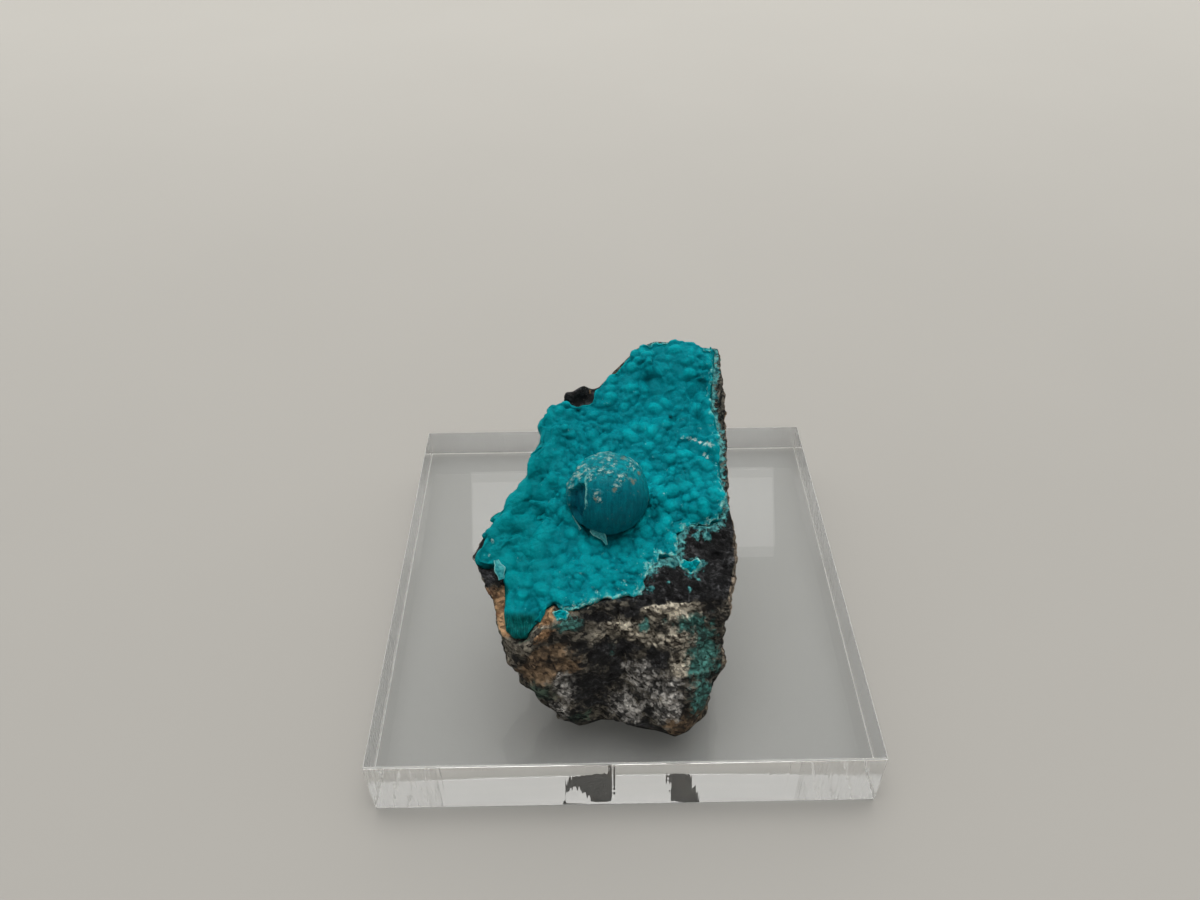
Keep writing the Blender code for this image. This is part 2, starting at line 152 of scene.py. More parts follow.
# Large ball: centre, radii of its parts and the split in its skin
BALL_CENTRE = np.array([-1.2, 9.8]) * MM
BALL_H = 1.5 * MM
BALL_RADIUS = 3.9 * MM
BALL_NECK_H = -0.4 * MM
BALL_MOAT = 0.4 * MM
BALL_COLUMNS = 420
BALL_ROWS = 210
BALL_LOWEST_H = -1.1 * MM
BALL_CORE_RADIUS = 3.78 * MM
BALL_SHELL_RADIUS = 3.86 * MM
BALL_CAVITY_DEPTH = 0.75 * MM
BALL_SHELL_WALL_S = -3.7 * MM
BALL_CAVITY_TOP_T = -0.3 * MM
BALL_GROOVE_DEPTH = 0.018 * MM
BALL_FLAKE_HEIGHT = 0.08 * MM
BALL_SEAM_T = np.array([-3.0, -2.3, -0.24, 1.28, 2.05, 3.5]) * MM
BALL_SEAM_S = np.array([-2.7, -2.33, -2.2, -1.91, -1.45, -0.8]) * MM

# Pale flakes on the ball: s, t and h from its centre, and radius
BALL_FLAKES = np.array([
    (0.1, 1.9, 3.4, 0.55), (2.6, 2.5, 1.7, 0.6), (2.0, 2.2, 2.5, 0.4), (1.2, 0.0, 3.7, 0.45),
    (0.8, -0.9, 3.7, 0.35), (0.2, 0.4, 3.9, 0.3), (-0.7, 0.7, 3.8, 0.4), (-1.1, -1.6, 3.4, 0.4),
    (-0.8, -2.0, 3.2, 0.25), (-1.7, 0.2, 3.5, 0.35), (0.4, 1.4, 3.6, 0.35), (2.2, 1.4, 2.9, 0.4),
    (-0.5, 3.5, 1.8, 0.5), (0.4, 3.5, 1.7, 0.35), (-2.7, 2.2, 1.9, 0.4), (-3.0, 1.2, 2.2, 0.3),
]) * MM
BALL_RUST_SPOTS = np.array([
    (1.6, 2.7, 2.3, 0.22), (2.3, -0.1, 3.1, 0.26), (1.4, 2.3, 2.8, 0.2), (0.5, -1.2, 3.7, 0.18),
    (2.9, 1.0, 2.4, 0.2), (-1.2, -1.9, 3.2, 0.16),
]) * MM

# Thin chips: their line in s, t, h, their widths along it and thickness in mm, and lean
CHIP_COLUMNS = 28
CHIP_ROWS = 61
CHIPS = {
    "ball_sliver": (
        [(-5.3, 9.2, -0.2), (-4.7, 8.1, 0.1), (-3.8, 6.8, 0.0)],
        (0.1, 0.3, 0.32, 0.1), 0.12, math.radians(60),
    ),
    "ball_tab": (
        [(-2.9, 6.6, 0.9), (-2.3, 6.3, 1.0), (-1.7, 5.8, 0.6), (-1.4, 5.2, 0.1)],
        (0.35, 0.5, 0.34, 0.08), 0.06, math.radians(35),
    ),
    "wing_tab": (
        [(-11.6, 3.9, 0.3), (-11.3, 3.1, 0.2), (-11.1, 2.2, -0.3)],
        (0.3, 0.55, 0.3), 0.08, math.radians(-30),
    ),
}

# Rests of crust on the bare rock: their outline in s, t and their height in mm
REMNANT_COLUMNS = 120
REMNANT_ROWS = 26
REMNANTS = {
    "crust_remnant": (
        [(5.2, 3.3), (5.7, 2.8), (6.2, 2.4), (6.8, 2.7), (7.3, 3.4), (6.9, 3.8), (6.2, 3.7), (5.6, 3.9)],
        0.3,
    ),
    "front_remnant": ([(-6.4, -1.0), (-6.1, -1.7), (-5.2, -1.7), (-4.9, -1.1), (-5.7, -0.8)], 0.2),
}

# Matrix rock
ROCK_TOP_H = -1.3 * MM
ROCK_BARE_MARGIN = 0.45 * MM
ROCK_BARE_RISE = 0.75 * MM
ROCK_COARSE_CELL = 4.2 * MM
ROCK_COARSE_DEPTH = 0.75 * MM
ROCK_FINE_CELL = 1.7 * MM
ROCK_FINE_DEPTH = 0.4 * MM
ROCK_LEDGES = 2.5
ROCK_CORNER_BULGE = 0.8 * MM
ROCK_CORNER_DIRECTION = math.radians(-125)
ROCK_RIGHT_BULGE = 1.1 * MM
ROCK_RIGHT_DIRECTION = math.radians(-25)
ROCK_CRUMB_DEPTH = 0.26 * MM
ROCK_GRAIN_DEPTH = 0.3 * MM
ROCK_CRAG_DEPTH = 0.5 * MM
RIND_STRATA_DEPTH = 0.12 * MM
ROCK_COLUMNS = 560
ROCK_FRONT_SHARE = 1.3
ROCK_HIDDEN_TOP_ROWS = 4
ROCK_BARE_TOP_ROWS = 42
ROCK_BARE_FROM = 0.5
ROCK_SIDE_ROWS = 118
ROCK_UNDER_ROWS = 12
HOLLOW_X = 2.0 * MM
HOLLOW_BACK_Y = -1.0 * MM
HOLLOW_FRONT_Y = -13.0 * MM
HOLLOW_RADIUS = 3.2 * MM
HOLLOW_LIFT = 1.6 * MM
FOOT_SINK = 0.06 * MM
FOOT_ARCH = 0.35 * MM
FILM_STRENGTH = 0.62
FILM_WIDTH = 1.4 * MM

# Outline of the crust on the sloping face, anticlockwise from the front, s and t
CRUST_OUTLINE = np.array([
    (0.0, 0.2), (1.7, 0.7), (2.2, 2.4), (2.8, 3.6), (5.1, 4.3), (5.4, 6.4), (5.9, 7.1), (6.7, 7.3),
    (8.3, 7.0), (9.2, 7.6), (9.9, 9.6), (9.6, 12.0), (9.8, 15.0), (9.9, 17.6), (9.4, 19.2),
    (9.5, 22.0), (9.9, 24.5), (10.2, 26.9), (8.5, 27.1), (6.5, 27.7), (4.0, 27.9), (2.4, 27.1),
    (1.0, 25.6), (-0.8, 23.6), (-2.1, 22.2), (-2.6, 20.8), (-5.4, 20.0), (-6.9, 19.5), (-7.2, 18.5),
    (-8.2, 16.3), (-9.1, 14.8), (-9.1, 13.5), (-10.3, 11.1), (-12.0, 8.7), (-12.8, 7.4),
    (-13.3, 5.1), (-12.8, 4.1), (-11.8, 3.4), (-10.8, 2.1), (-10.8, -0.8), (-10.6, -2.3),
    (-9.9, -3.0), (-8.7, -3.1), (-7.9, -2.0), (-7.1, -0.8), (-6.3, -0.4), (-5.5, -0.9), (-4.5, -1.0),
    (-2.2, 0.0),
]) * MM

# Outline of the rock's top on the same face, anticlockwise from the front
ROCK_OUTLINE = np.array([
    (1.7, -0.4), (6.0, -0.1), (9.3, 0.1), (10.0, 3.0), (10.3, 7.0), (10.2, 10.8), (10.5, 15.5),
    (10.5, 20.4), (10.6, 24.0), (10.5, 27.2), (8.6, 27.4), (6.5, 28.0), (4.0, 28.2), (2.2, 27.4),
    (0.0, 25.0), (-1.9, 22.8), (-3.6, 22.2), (-5.2, 21.8), (-5.7, 20.0), (-6.4, 19.3), (-6.6, 18.2),
    (-7.6, 16.1), (-8.5, 14.6), (-8.6, 13.3), (-9.7, 11.0), (-11.6, 8.5), (-12.8, 7.2),
    (-13.8, 5.0), (-13.3, 3.4), (-12.5, 2.0), (-11.8, 0.5), (-11.4, -1.2), (-11.0, -2.7),
    (-9.9, -3.5), (-8.5, -3.5), (-7.5, -2.5), (-5.9, -2.0), (-4.2, -1.6), (-2.0, -0.5),
]) * MM

# Outline of the rock's foot on the slab, anticlockwise from the front, x and y
FOOT_OUTLINE = np.array([
    (4.9, -22.2), (6.2, -21.7), (7.6, -20.3), (8.2, -17.5), (8.2, -12.0), (7.2, -6.0), (4.5, -3.6),
    (0.5, -4.6), (-3.5, -3.6), (-5.8, -6.0), (-6.3, -11.0), (-6.5, -16.5), (-5.9, -20.3),
    (-4.4, -20.9), (-2.2, -20.1), (-0.6, -20.3), (0.8, -21.1), (3.0, -21.5),
]) * MM

# Regions of the sloping face: the limits in mm between which they fade in along s and t
FACE_REGIONS = {
    "edge on bare rock": ((0.5, 2.0), (9.0, 7.0)),
    "front edge": ((-7.0, -5.0), (2.0, 0.5)),
    "left edge": ((-2.0, -6.0), (1.0, 4.0)),
    "right edge": ((8.5, 9.2), None),
    "large bubbles": ((-4.0, -8.0), (0.0, 3.0)),
    "back": (None, (10.0, 18.0)),
    "small bubbles": ((-8.0, -4.0), (7.0, 3.0)),
    # front-left lobe, whose fibrous wall is partly painted shade
    "flap": ((-7.4, -8.2), (-0.5, -1.5)),
    # painted shade over the crust's front-left
    "painted_left_shade": ((-3.0, -10.0), (-2.0, 3.0)),
    "bare rock": ((-10.0, -8.0), (10.0, 8.0)),
    "film": ((1.0, 3.0), None),
}

# Minerals on the rock's broken front: x, z and the half widths along them in mm
FRONT_PATCHES = {
    "black": [
        (-2.5, 17.8, 1.5, 1.7), (0.0, 17.5, 1.5, 1.2), (3.2, 16.8, 0.9, 1.1), (-3.2, 13.4, 1.8, 2.9),
        (1.8, 8.5, 1.2, 0.9), (8.2, 24.0, 1.1, 2.6), (0.4, 21.9, 1.4, 0.5), (-2.6, 21.4, 1.4, 0.5),
        (-1.0, 15.0, 1.0, 1.6),
    ],
    "cream": [
        (4.7, 21.6, 2.2, 1.3), (-1.8, 19.5, 1.3, 0.6), (1.9, 18.9, 2.0, 1.0), (5.2, 16.6, 1.2, 1.1),
        (2.6, 22.0, 1.2, 0.4), (-0.4, 20.6, 1.6, 0.5), (5.0, 19.0, 1.6, 1.0),
    ],
    "grey": [
        (2.3, 14.3, 2.6, 1.8), (0.4, 10.5, 1.9, 1.5), (-5.6, 14.4, 1.0, 2.4), (-6.1, 11.1, 0.9, 2.0),
        (3.6, 11.6, 1.4, 1.5),
    ],
    "brown": [
        (-6.7, 18.9, 2.0, 0.8), (-7.9, 17.0, 2.1, 1.5), (5.6, 9.6, 1.5, 1.5), (-5.2, 17.2, 1.4, 1.0),
    ],
    "orange": [(-7.2, 21.2, 0.9, 0.8), (-11.4, 23.6, 0.8, 1.6)],
    "teal": [
        (7.4, 16.2, 1.3, 3.4), (1.8, 20.1, 0.5, 0.6), (-1.6, 17.7, 0.5, 0.5), (-4.9, 21.5, 1.6, 0.4),
        (6.2, 20.0, 1.5, 0.9), (7.0, 12.4, 0.9, 2.0),
    ],
    "green": [(-7.8, 14.2, 0.9, 1.5), (-4.4, 9.3, 1.1, 0.9)],
}

# Minerals from the ground up: dark and light tint, grain size in mm and level of the change
MINERAL_LOOKS = {
    "ground": ((24, 23, 22), (118, 112, 100), 0.6, 0.55),
    "grey": ((56, 55, 54), (188, 184, 178), 0.5, 0.52),
    "brown": ((54, 44, 35), (130, 108, 84), 0.6, 0.48),
    "green": ((22, 36, 34), (84, 104, 88), 0.6, 0.52),
    "cream": ((68, 62, 54), (218, 208, 188), 0.5, 0.5),
    "teal": ((38, 62, 58), (80, 140, 132), 0.5, 0.47),
    "orange": ((104, 74, 52), (172, 136, 100), 0.6, 0.44),
    "black": ((7, 7, 9), (74, 74, 76), 0.35, 0.62),
    "rind": ((72, 62, 54), (160, 144, 126), 0.3, 0.47),
}

# Orange stain below the wing and tan spot beside the flap: s, t and radius
TOP_STAINS = np.array([(-11.2, 0.9, 0.9), (-11.0, -0.6, 1.0), (-10.8, -2.0, 0.7), (-7.1, -1.2, 0.85)]) * MM

# White flecks on the crust: s, t and radius
WHITE_FLECKS = np.array([
    (6.3, 16.3, 0.24), (6.9, 16.35, 0.26), (7.4, 16.2, 0.26), (7.8, 15.9, 0.22), (8.3, 15.6, 0.36),
    (8.8, 15.4, 0.36), (8.2, 14.7, 0.2), (8.5, 14.3, 0.2), (4.0, 10.0, 0.12), (-12.1, 6.1, 0.2),
    (-12.3, 4.7, 0.17),
]) * MM

# Rests of thin crust film on the bare rock: s, t and radius
FILM_SPOTS = np.array([
    (3.6, 3.9, 0.45), (4.4, 3.6, 0.4), (5.0, 3.8, 0.35), (6.4, 3.1, 0.7), (7.4, 3.4, 0.3),
    (6.9, 6.0, 0.35), (7.9, 6.2, 0.4), (8.7, 6.9, 0.35), (4.1, 1.6, 0.15), (6.9, 2.0, 0.15),
    (2.6, 1.2, 0.2), (6.0, 1.0, 0.2),
]) * MM


def smooth_step(low, high, value):
    """Rise from 0 at low to 1 at high with level ends."""
    share = np.clip((value - low) / (high - low), 0.0, 1.0)
    return share * share * (3.0 - 2.0 * share)


def smooth_mm(low, high, value):
    """Smooth step between two limits in millimetres."""
    return smooth_step(low * MM, high * MM, value)


def region(name, flat):
    """Mask of a region of the sloping face: the product of its fades along s and t."""
    mask = 1.0
    for values, fade in zip(np.moveaxis(flat, -1, 0), FACE_REGIONS[name]):
        if fade:
            mask = mask * smooth_mm(*fade, values)
    return mask


def spot_mask(points, spots):
    """Mask of round spots: 1 at a spot's middle, 0.5 at its edge and 0 at twice its radius."""
    return np.maximum.reduce([
        np.clip(1.0 - 0.5 * np.linalg.norm(points - spot[:-1], axis=-1) / spot[-1], 0.0, 1.0)
        for spot in spots
    ])


def unit(vectors):
    """Vectors of length 1 in the same directions."""
    return vectors / np.maximum(np.linalg.norm(vectors, axis=-1, keepdims=True), 1e-12)


def steps(count):
    """Column of even shares that end at 1, without the 0 before them."""
    return np.linspace(0.0, 1.0, count + 1)[1:, None]


def lattice_value(i, j, k, seed):
    """Fixed pseudo-random value from -1 to 1 at whole-number places."""
    mixed = (i * 374761393 + j * 668265263 + k * 1274126177 + seed * 974634777) & 0xFFFFFFFF
    mixed = ((mixed ^ (mixed >> 13)) * 1103515245) & 0xFFFFFFFF
    mixed = mixed ^ (mixed >> 16)
    return (mixed & 0xFFFF) / 32767.5 - 1.0


def value_noise(points, cell, seed):
    """Smooth noise from -1 to 1 on 3-D points, blended between values at a lattice's corners."""
    scaled = points / cell
    corner = np.floor(scaled).astype(np.int64)
    share = smooth_step(0.0, 1.0, scaled - corner)
    total = np.zeros(points.shape[:-1])
    for offset in np.ndindex(2, 2, 2):
        weight = np.where(np.array(offset), share, 1.0 - share).prod(axis=-1)
        total += weight * lattice_value(*np.moveaxis(corner + np.array(offset), -1, 0), seed)
    return total


def layered_noise(points, cell, layers, seed):
    """Sum of value noises, each of half the cell and half the strength of the one before."""
    total = np.zeros(points.shape[:-1])
    for layer in range(layers):
        total += 0.5 ** layer * value_noise(points, cell * 0.5 ** layer, seed + layer)
    return total / (2.0 - 0.5 ** (layers - 1))


def on_face(flat):
    """3-D points for noise from s, t pairs."""
    return np.concatenate([flat, np.zeros_like(flat[..., :1])], axis=-1)


def scattered_domes(flat, cell, radii, seed):
    """Height of small domes over s, t: each square cell has one, with its place and radius
    from its numbers, and a point takes the highest of the nine cells round it."""
    corner = np.floor(flat / cell).astype(np.int64)
    highest = np.zeros(flat.shape[:-1])
    for offset in np.ndindex(3, 3):
        i, j = np.moveaxis(corner + np.array(offset) - 1, -1, 0)
        centre_s = (i + 0.5 + 0.4 * lattice_value(i, j, 0, seed)) * cell
        centre_t = (j + 0.5 + 0.4 * lattice_value(i, j, 1, seed)) * cell
        radius = radii[0] + (radii[1] - radii[0]) * (0.5 + 0.5 * lattice_value(i, j, 2, seed))
        apart = np.hypot(flat[..., 0] - centre_s, flat[..., 1] - centre_t)
        highest = np.maximum(highest, radius * np.sqrt(np.clip(1.0 - (apart / radius) ** 2, 0.0, 1.0)))
    return highest


def nearby_centres(points, cell, spread, seed):
    """The 27 cubic cells round each point, one after the other: the cell's numbers, and the
    distance in cells from the point to the cell's own centre, which is jittered by spread."""
    scaled = points / cell
    corner = np.floor(scaled).astype(np.int64)
    for offset in np.ndindex(3, 3, 3):
        place = corner + np.array(offset) - 1
        numbers = np.moveaxis(place, -1, 0)
        jitter = np.stack([lattice_value(*numbers, seed + axis) for axis in range(3)], axis=-1)
        yield numbers, np.linalg.norm(scaled - place - 0.5 - spread * jitter, axis=-1)


def grain_height(points, cell, seed):
    """Rounded grains from 0 at their borders to 1 at their middles: one less the squared
    distance to the nearest jittered centre."""
    nearest = np.full(points.shape[:-1], 9.0)
    for _, apart in nearby_centres(points, cell, 0.42, seed):
        nearest = np.minimum(nearest, apart)
    return np.clip(1.0 - nearest ** 2, 0.0, 1.0)


def bubble_field(points, cell, seed):
    """Height of touching bubbles at 3-D points, and the tone of the one that stands highest.
    Each cubic cell holds a ball with a centre and radius of its own; its height is the root
    of its radius squared less the distance squared. Where balls meet, their high powers are
    added, which blends them with a narrow crease."""
    total = np.zeros(points.shape[:-1])
    tone = np.zeros(points.shape[:-1])
    highest = np.zeros(points.shape[:-1])
    for numbers, apart in nearby_centres(points, cell, 0.4, seed):
        radius = 0.64 + 0.2 * lattice_value(*numbers, seed + 3)
        dome = np.sqrt(np.clip(radius ** 2 - apart ** 2, 0.0, None))
        total += dome ** BUBBLE_BLEND
        tone = np.where(dome > highest, 0.5 + 0.5 * lattice_value(*numbers, seed + 4), tone)
        highest = np.maximum(highest, dome)
    return total ** (1.0 / BUBBLE_BLEND) * cell, tone


def face_to_world(flat, h):
    """World points of places s, t on the sloping face and heights h above it."""
    s, t = np.moveaxis(flat, -1, 0)
    y = FACE_FRONT_Y + t * math.cos(FACE_TILT) - h * math.sin(FACE_TILT)
    z = FACE_FRONT_Z + t * math.sin(FACE_TILT) + h * math.cos(FACE_TILT)
    return np.stack([s, y, z], axis=-1)


def resample(outline, count, density=None):
    """Points round a closed outline, at even distances or closer where density is high."""
    closed = np.vstack([outline, outline[:1]])
    travelled = np.concatenate([[0.0], np.cumsum(np.hypot(*np.diff(closed, axis=0).T))])
    fine = np.linspace(0.0, travelled[-1], 8001)
    track = np.stack([np.interp(fine, travelled, closed[:, axis]) for axis in (0, 1)], axis=1)
    weight = np.ones(8000) if density is None else density(0.5 * (track[1:] + track[:-1]))
    share = np.concatenate([[0.0], np.cumsum(weight)]) / weight.sum()
    places = np.interp(np.arange(count) / count, share, fine)
    return np.stack([np.interp(places, travelled, closed[:, axis]) for axis in (0, 1)], axis=1)


def outline_distance(flat, outline):
    """Distance from points to a closed outline, negative inside it."""
    points = flat.reshape(-1, 2)
    run = np.roll(outline, -1, axis=0) - outline
    offset = points[:, None, :] - outline[None, :, :]
    share = np.clip((offset * run).sum(axis=2) / (run * run).sum(axis=1), 0.0, 1.0)
    distance = np.linalg.norm(offset - share[:, :, None] * run, axis=2).min(axis=1)
    above = outline[None, :, 1] > points[:, 1, None]
    above_next = np.roll(above, -1, axis=1)
    slope = run[:, 0] / np.where(run[:, 1] == 0, 1e-12, run[:, 1])
    crossing = offset[:, :, 0] < offset[:, :, 1] * slope
    inside = ((above != above_next) & crossing).sum(axis=1) % 2 == 1
    return np.where(inside, -distance, distance).reshape(flat.shape[:-1])


def grid_normals(points):
    """Unit normals of a grid of rows by columns whose columns close on themselves."""
    down = np.gradient(points, axis=0)
    along = np.roll(points, -1, axis=1) - np.roll(points, 1, axis=1)
    return unit(np.cross(down, along))


def grid_faces(rows, columns, closed_rows=False):
    """Quads of a grid whose columns close on themselves, and its rows too if asked. They
    face the side from which the rows run down and the columns run to the right."""
    numbers = np.arange(rows * columns).reshape(rows, columns)
    below = np.roll(numbers, -1, axis=0)
    quads = np.stack([numbers, below, np.roll(below, -1, axis=1), np.roll(numbers, -1, axis=1)], axis=-1)
    if not closed_rows:
        quads = quads[:-1]
    return quads.reshape(-1, 4).tolist()


def capped(points):
    """Points and faces of a grid with its first and last rows drawn together to poles."""
    rows, columns = points.shape[:2]
    numbers = np.arange(columns)
    after = (numbers + 1) % columns
    pole = np.full(columns, rows * columns)
    last = (rows - 1) * columns
    faces = grid_faces(rows, columns)
    faces += np.stack([pole, numbers, after], axis=1).tolist()
    faces += np.stack([pole + 1, last + after, last + numbers], axis=1).tolist()
    poles = [points[0].mean(axis=0), points[-1].mean(axis=0)]
    return np.vstack([points.reshape(-1, 3), poles]), faces


def add_object(name, data):
    """New object in the scene."""
    new = bpy.data.objects.new(name, data)
    bpy.context.scene.collection.objects.link(new)
    return new


def add_piece(name, points, faces, material, slot, node, masks):
    """Smooth mesh piece that rides with the body and stands for a node of the frame. Its
    masks are 0 at the points past their end, which are poles."""
    mesh = bpy.data.meshes.new(name)
    mesh.from_pydata(points.tolist(), [], faces)
    mesh.shade_smooth()
    for label, values in masks.items():
        padded = np.zeros(len(points), np.float32)
        padded[:values.size] = values.ravel()
        mesh.attributes.new(label, "FLOAT", "POINT").data.foreach_set("value", padded)
    mesh.materials.append(material)
    piece = add_object(name, mesh)
    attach(piece, "root")
    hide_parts(node)
    return piece


def tint(red, green, blue):
    """Linear colour from the 0 to 255 values that a screen shows."""
    share = np.array([red, green, blue]) / 255.0
    linear = np.where(share <= 0.04045, share / 12.92, ((share + 0.055) / 1.055) ** 2.4)
    return (*linear.tolist(), 1.0)


class Shading:
    """Short ways to add nodes to a material, a group or the world. All but feed return the
    sockets or the socket that the new node gives."""

    def __init__(self, tree):
        self.tree = tree

    def feed(self, sockets, inputs):
        """Set the named sockets to values, or link other sockets to them."""
        for label, value in inputs.items():
            if isinstance(value, bpy.types.NodeSocket):
                self.tree.links.new(value, sockets[label])
            else:
                sockets[label].default_value = value

    def add(self, kind, inputs=None, **settings):
        """Node of a kind, laid out in order, with its settings and inputs."""
        new = self.tree.nodes.new(kind)
        count = len(self.tree.nodes)
        new.location = (240 * (count // 4), -260 * (count % 4))
        for label, value in settings.items():
            setattr(new, label, value)
        self.feed(new.inputs, inputs or {})
        return new.outputs

    def place(self):
        """Object coordinates."""
        return self.add("ShaderNodeTexCoord")["Object"]

    def drawn_out(self, stretch, turn=(0.0, 0.0, 0.0)):
        """Object coordinates for a pattern that is drawn out along its axes and turned."""
        inputs = {"Vector": self.place(), "Rotation": turn, "Scale": stretch}
        return self.add("ShaderNodeMapping", inputs, vector_type="TEXTURE")["Vector"]

    def mask(self, label):
        """A mask that the mesh carries."""
        return self.add("ShaderNodeAttribute", attribute_name=label)["Fac"]

    def noise(self, size, detail=3.0, roughness=0.55, place=None):
        """Noise whose lumps are about size across."""
        where = self.place() if place is None else place
        inputs = {"Vector": where, "Scale": 1.0 / size, "Detail": detail, "Roughness": roughness}
        return self.add("ShaderNodeTexNoise", inputs)["Fac"]

    def math(self, operation, first, second):
        """Two values put together by a sum."""
        return self.add("ShaderNodeMath", {0: first, 1: second}, operation=operation)["Value"]

    def plus(self, first, second):
        """Two values added."""
        return self.math("ADD", first, second)

    def minus(self, first, second):
        """The first value less the second."""
        return self.math("SUBTRACT", first, second)

    def times(self, first, second):
        """Two values multiplied."""
        return self.math("MULTIPLY", first, second)

    def ranged(self, value, low, high, to_low=0.0, to_high=1.0):
        """Value carried smoothly from one range to another."""
        inputs = {"Value": value, "From Min": low, "From Max": high, "To Min": to_low, "To Max": to_high}
        return self.add("ShaderNodeMapRange", inputs, interpolation_type="SMOOTHSTEP")["Result"]

    def mixed(self, factor, first, second, blend="MIX"):
        """Colour between two others."""
        inputs = {0: factor, 6: first, 7: second}
        return self.add("ShaderNodeMix", inputs, data_type="RGBA", blend_type=blend)[2]

    def shaded(self, colour, factor, low, high):
        """Colour times a grey that goes from low to high as factor goes from 0 to 1."""
        grey = self.mixed(factor, (low, low, low, 1.0), (high, high, high, 1.0))
        return self.mixed(1.0, colour, grey, "MULTIPLY")

    def mottled(self, size, detail, first, second):
        """Two colours in lumps of about size across."""
        return self.mixed(self.ranged(self.noise(size, detail), 0.35, 0.65), first, second)

    def drift(self, colour, size, amount):
        """Colour that drifts darker and lighter in lumps of about size across."""
        inputs = {"Colour": colour, "Scale": 1.0 / size, "Amount": amount}
        return self.add("ShaderNodeGroup", inputs, node_tree=DRIFT)["Colour"]

    def ragged(self, label, size, raggedness, softness, seed=0.0):
        """A mask that the mesh carries, sharpened to an edge that noise breaks up."""
        inputs = {
            "Mask": self.mask(label), "Scale": 1.0 / size, "Raggedness": raggedness,
            "Softness": softness, "Seed": seed,
        }
        return self.add("ShaderNodeGroup", inputs, node_tree=RAGGED)["Mask"]

    def blend(self, share, first, second):
        """Shader between two others."""
        return self.add("ShaderNodeMixShader", {0: share, 1: first, 2: second})["Shader"]

    def bump(self, height, depth):
        """Normal with a relief of a depth."""
        return self.add("ShaderNodeBump", {"Height": height, "Distance": depth})["Normal"]


def start_group(name, inputs, outputs):
    """Empty shader group, the helper for its nodes and its two ends. Its named sockets are
    colours or values, as their defaults are."""
    group = bpy.data.node_groups.new(name, "ShaderNodeTree")
    for side, sockets in (("INPUT", inputs), ("OUTPUT", outputs)):
        for label, value in sockets.items():
            kind = "NodeSocketColor" if isinstance(value, tuple) else "NodeSocketFloat"
            socket = group.interface.new_socket(label, in_out=side, socket_type=kind)
            socket.default_value = value
    nodes = Shading(group)
    start = nodes.add("NodeGroupInput")
    end = group.nodes.new("NodeGroupOutput").inputs
    return group, nodes, start, end


def ragged_edge_group():
    """Sharpens a soft mask, with an edge that fine noise breaks up."""
    inputs = {"Mask": 0.0, "Scale": 2000.0, "Raggedness": 0.6, "Softness": 0.12, "Seed": 0.0}
    group, nodes, start, end = start_group("ragged_edge", inputs, {"Mask": 0.0})
    noise = {
        "Vector": nodes.place(), "W": start["Seed"], "Scale": start["Scale"],
        "Detail": 7.0, "Roughness": 0.7,
    }
    rough = nodes.add("ShaderNodeTexNoise", noise, noise_dimensions="4D")["Fac"]
    pushed = nodes.times(nodes.minus(rough, 0.5), start["Raggedness"])
    low = nodes.minus(0.5, start["Softness"])
    high = nodes.plus(0.5, start["Softness"])
    nodes.feed(end, {"Mask": nodes.ranged(nodes.plus(pushed, start["Mask"]), low, high)})
    return group


def grain_group():
    """Crumbly mineral: light grains of several sizes scattered in a darker ground."""
    inputs = {"Dark": BLACK, "Light": WHITE, "Scale": 2500.0, "Balance": 0.5}
    group, nodes, start, end = start_group("mineral_grain", inputs, {"Colour": WHITE, "Height": 0.0})
    place = nodes.drawn_out((1.7, 1.0, 1.0), (0.3, 0.6, 0.2))
    fine = {"Vector": place, "Scale": start["Scale"], "Detail": 8.0, "Roughness": 0.75}
    broad = {"Vector": place, "Scale": nodes.times(start["Scale"], 0.3)}
    rough = [nodes.add("ShaderNodeTexNoise", noise)["Fac"] for noise in (fine, broad)]
    tones = []
    for finer in (1.2, 2.4):
        cells = {"Vector": place, "Scale": nodes.times(start["Scale"], finer)}
        colour = nodes.add("ShaderNodeTexVoronoi", cells)["Color"]
        tones.append(nodes.add("ShaderNodeSeparateColor", {"Color": colour}))
    grains, crumbs = tones
    shade = nodes.times(nodes.minus(nodes.plus(grains["Red"], crumbs["Green"]), 1.0), 0.22)
    level = nodes.plus(nodes.times(nodes.plus(*rough), 0.5), shade)
    low = nodes.minus(start["Balance"], 0.14)
    high = nodes.plus(start["Balance"], 0.14)
    colour = nodes.mixed(nodes.ranged(level, low, high), start["Dark"], start["Light"])
    nodes.feed(end, {"Colour": nodes.shaded(colour, crumbs["Blue"], 0.45, 1.5), "Height": level})
    return group


def tone_drift_group():
    """Lets a colour drift a little darker and lighter over the surface."""
    inputs = {"Colour": WHITE, "Scale": 300.0, "Amount": 0.3}
    group, nodes, start, end = start_group("tone_drift", inputs, {"Colour": WHITE})
    noise = {"Vector": nodes.place(), "Scale": start["Scale"], "Detail": 4.0}
    centred = nodes.minus(nodes.add("ShaderNodeTexNoise", noise)["Fac"], 0.5)
    brightness = nodes.plus(nodes.times(nodes.times(centred, 2.0), start["Amount"]), 1.0)
    grey = nodes.add("ShaderNodeCombineColor", {0: brightness, 1: brightness, 2: brightness})
    nodes.feed(end, {"Colour": nodes.mixed(1.0, start["Colour"], grey["Color"], "MULTIPLY")})
    return group


def start_material(name):
    """Material with the helper for its nodes and its Principled shader."""
    material = bpy.data.materials.new(name)
    material.use_nodes = True
    return material, Shading(material.node_tree), material.node_tree.nodes["Principled BSDF"]


RAGGED = ragged_edge_group()
GRAIN = grain_group()
DRIFT = tone_drift_group()


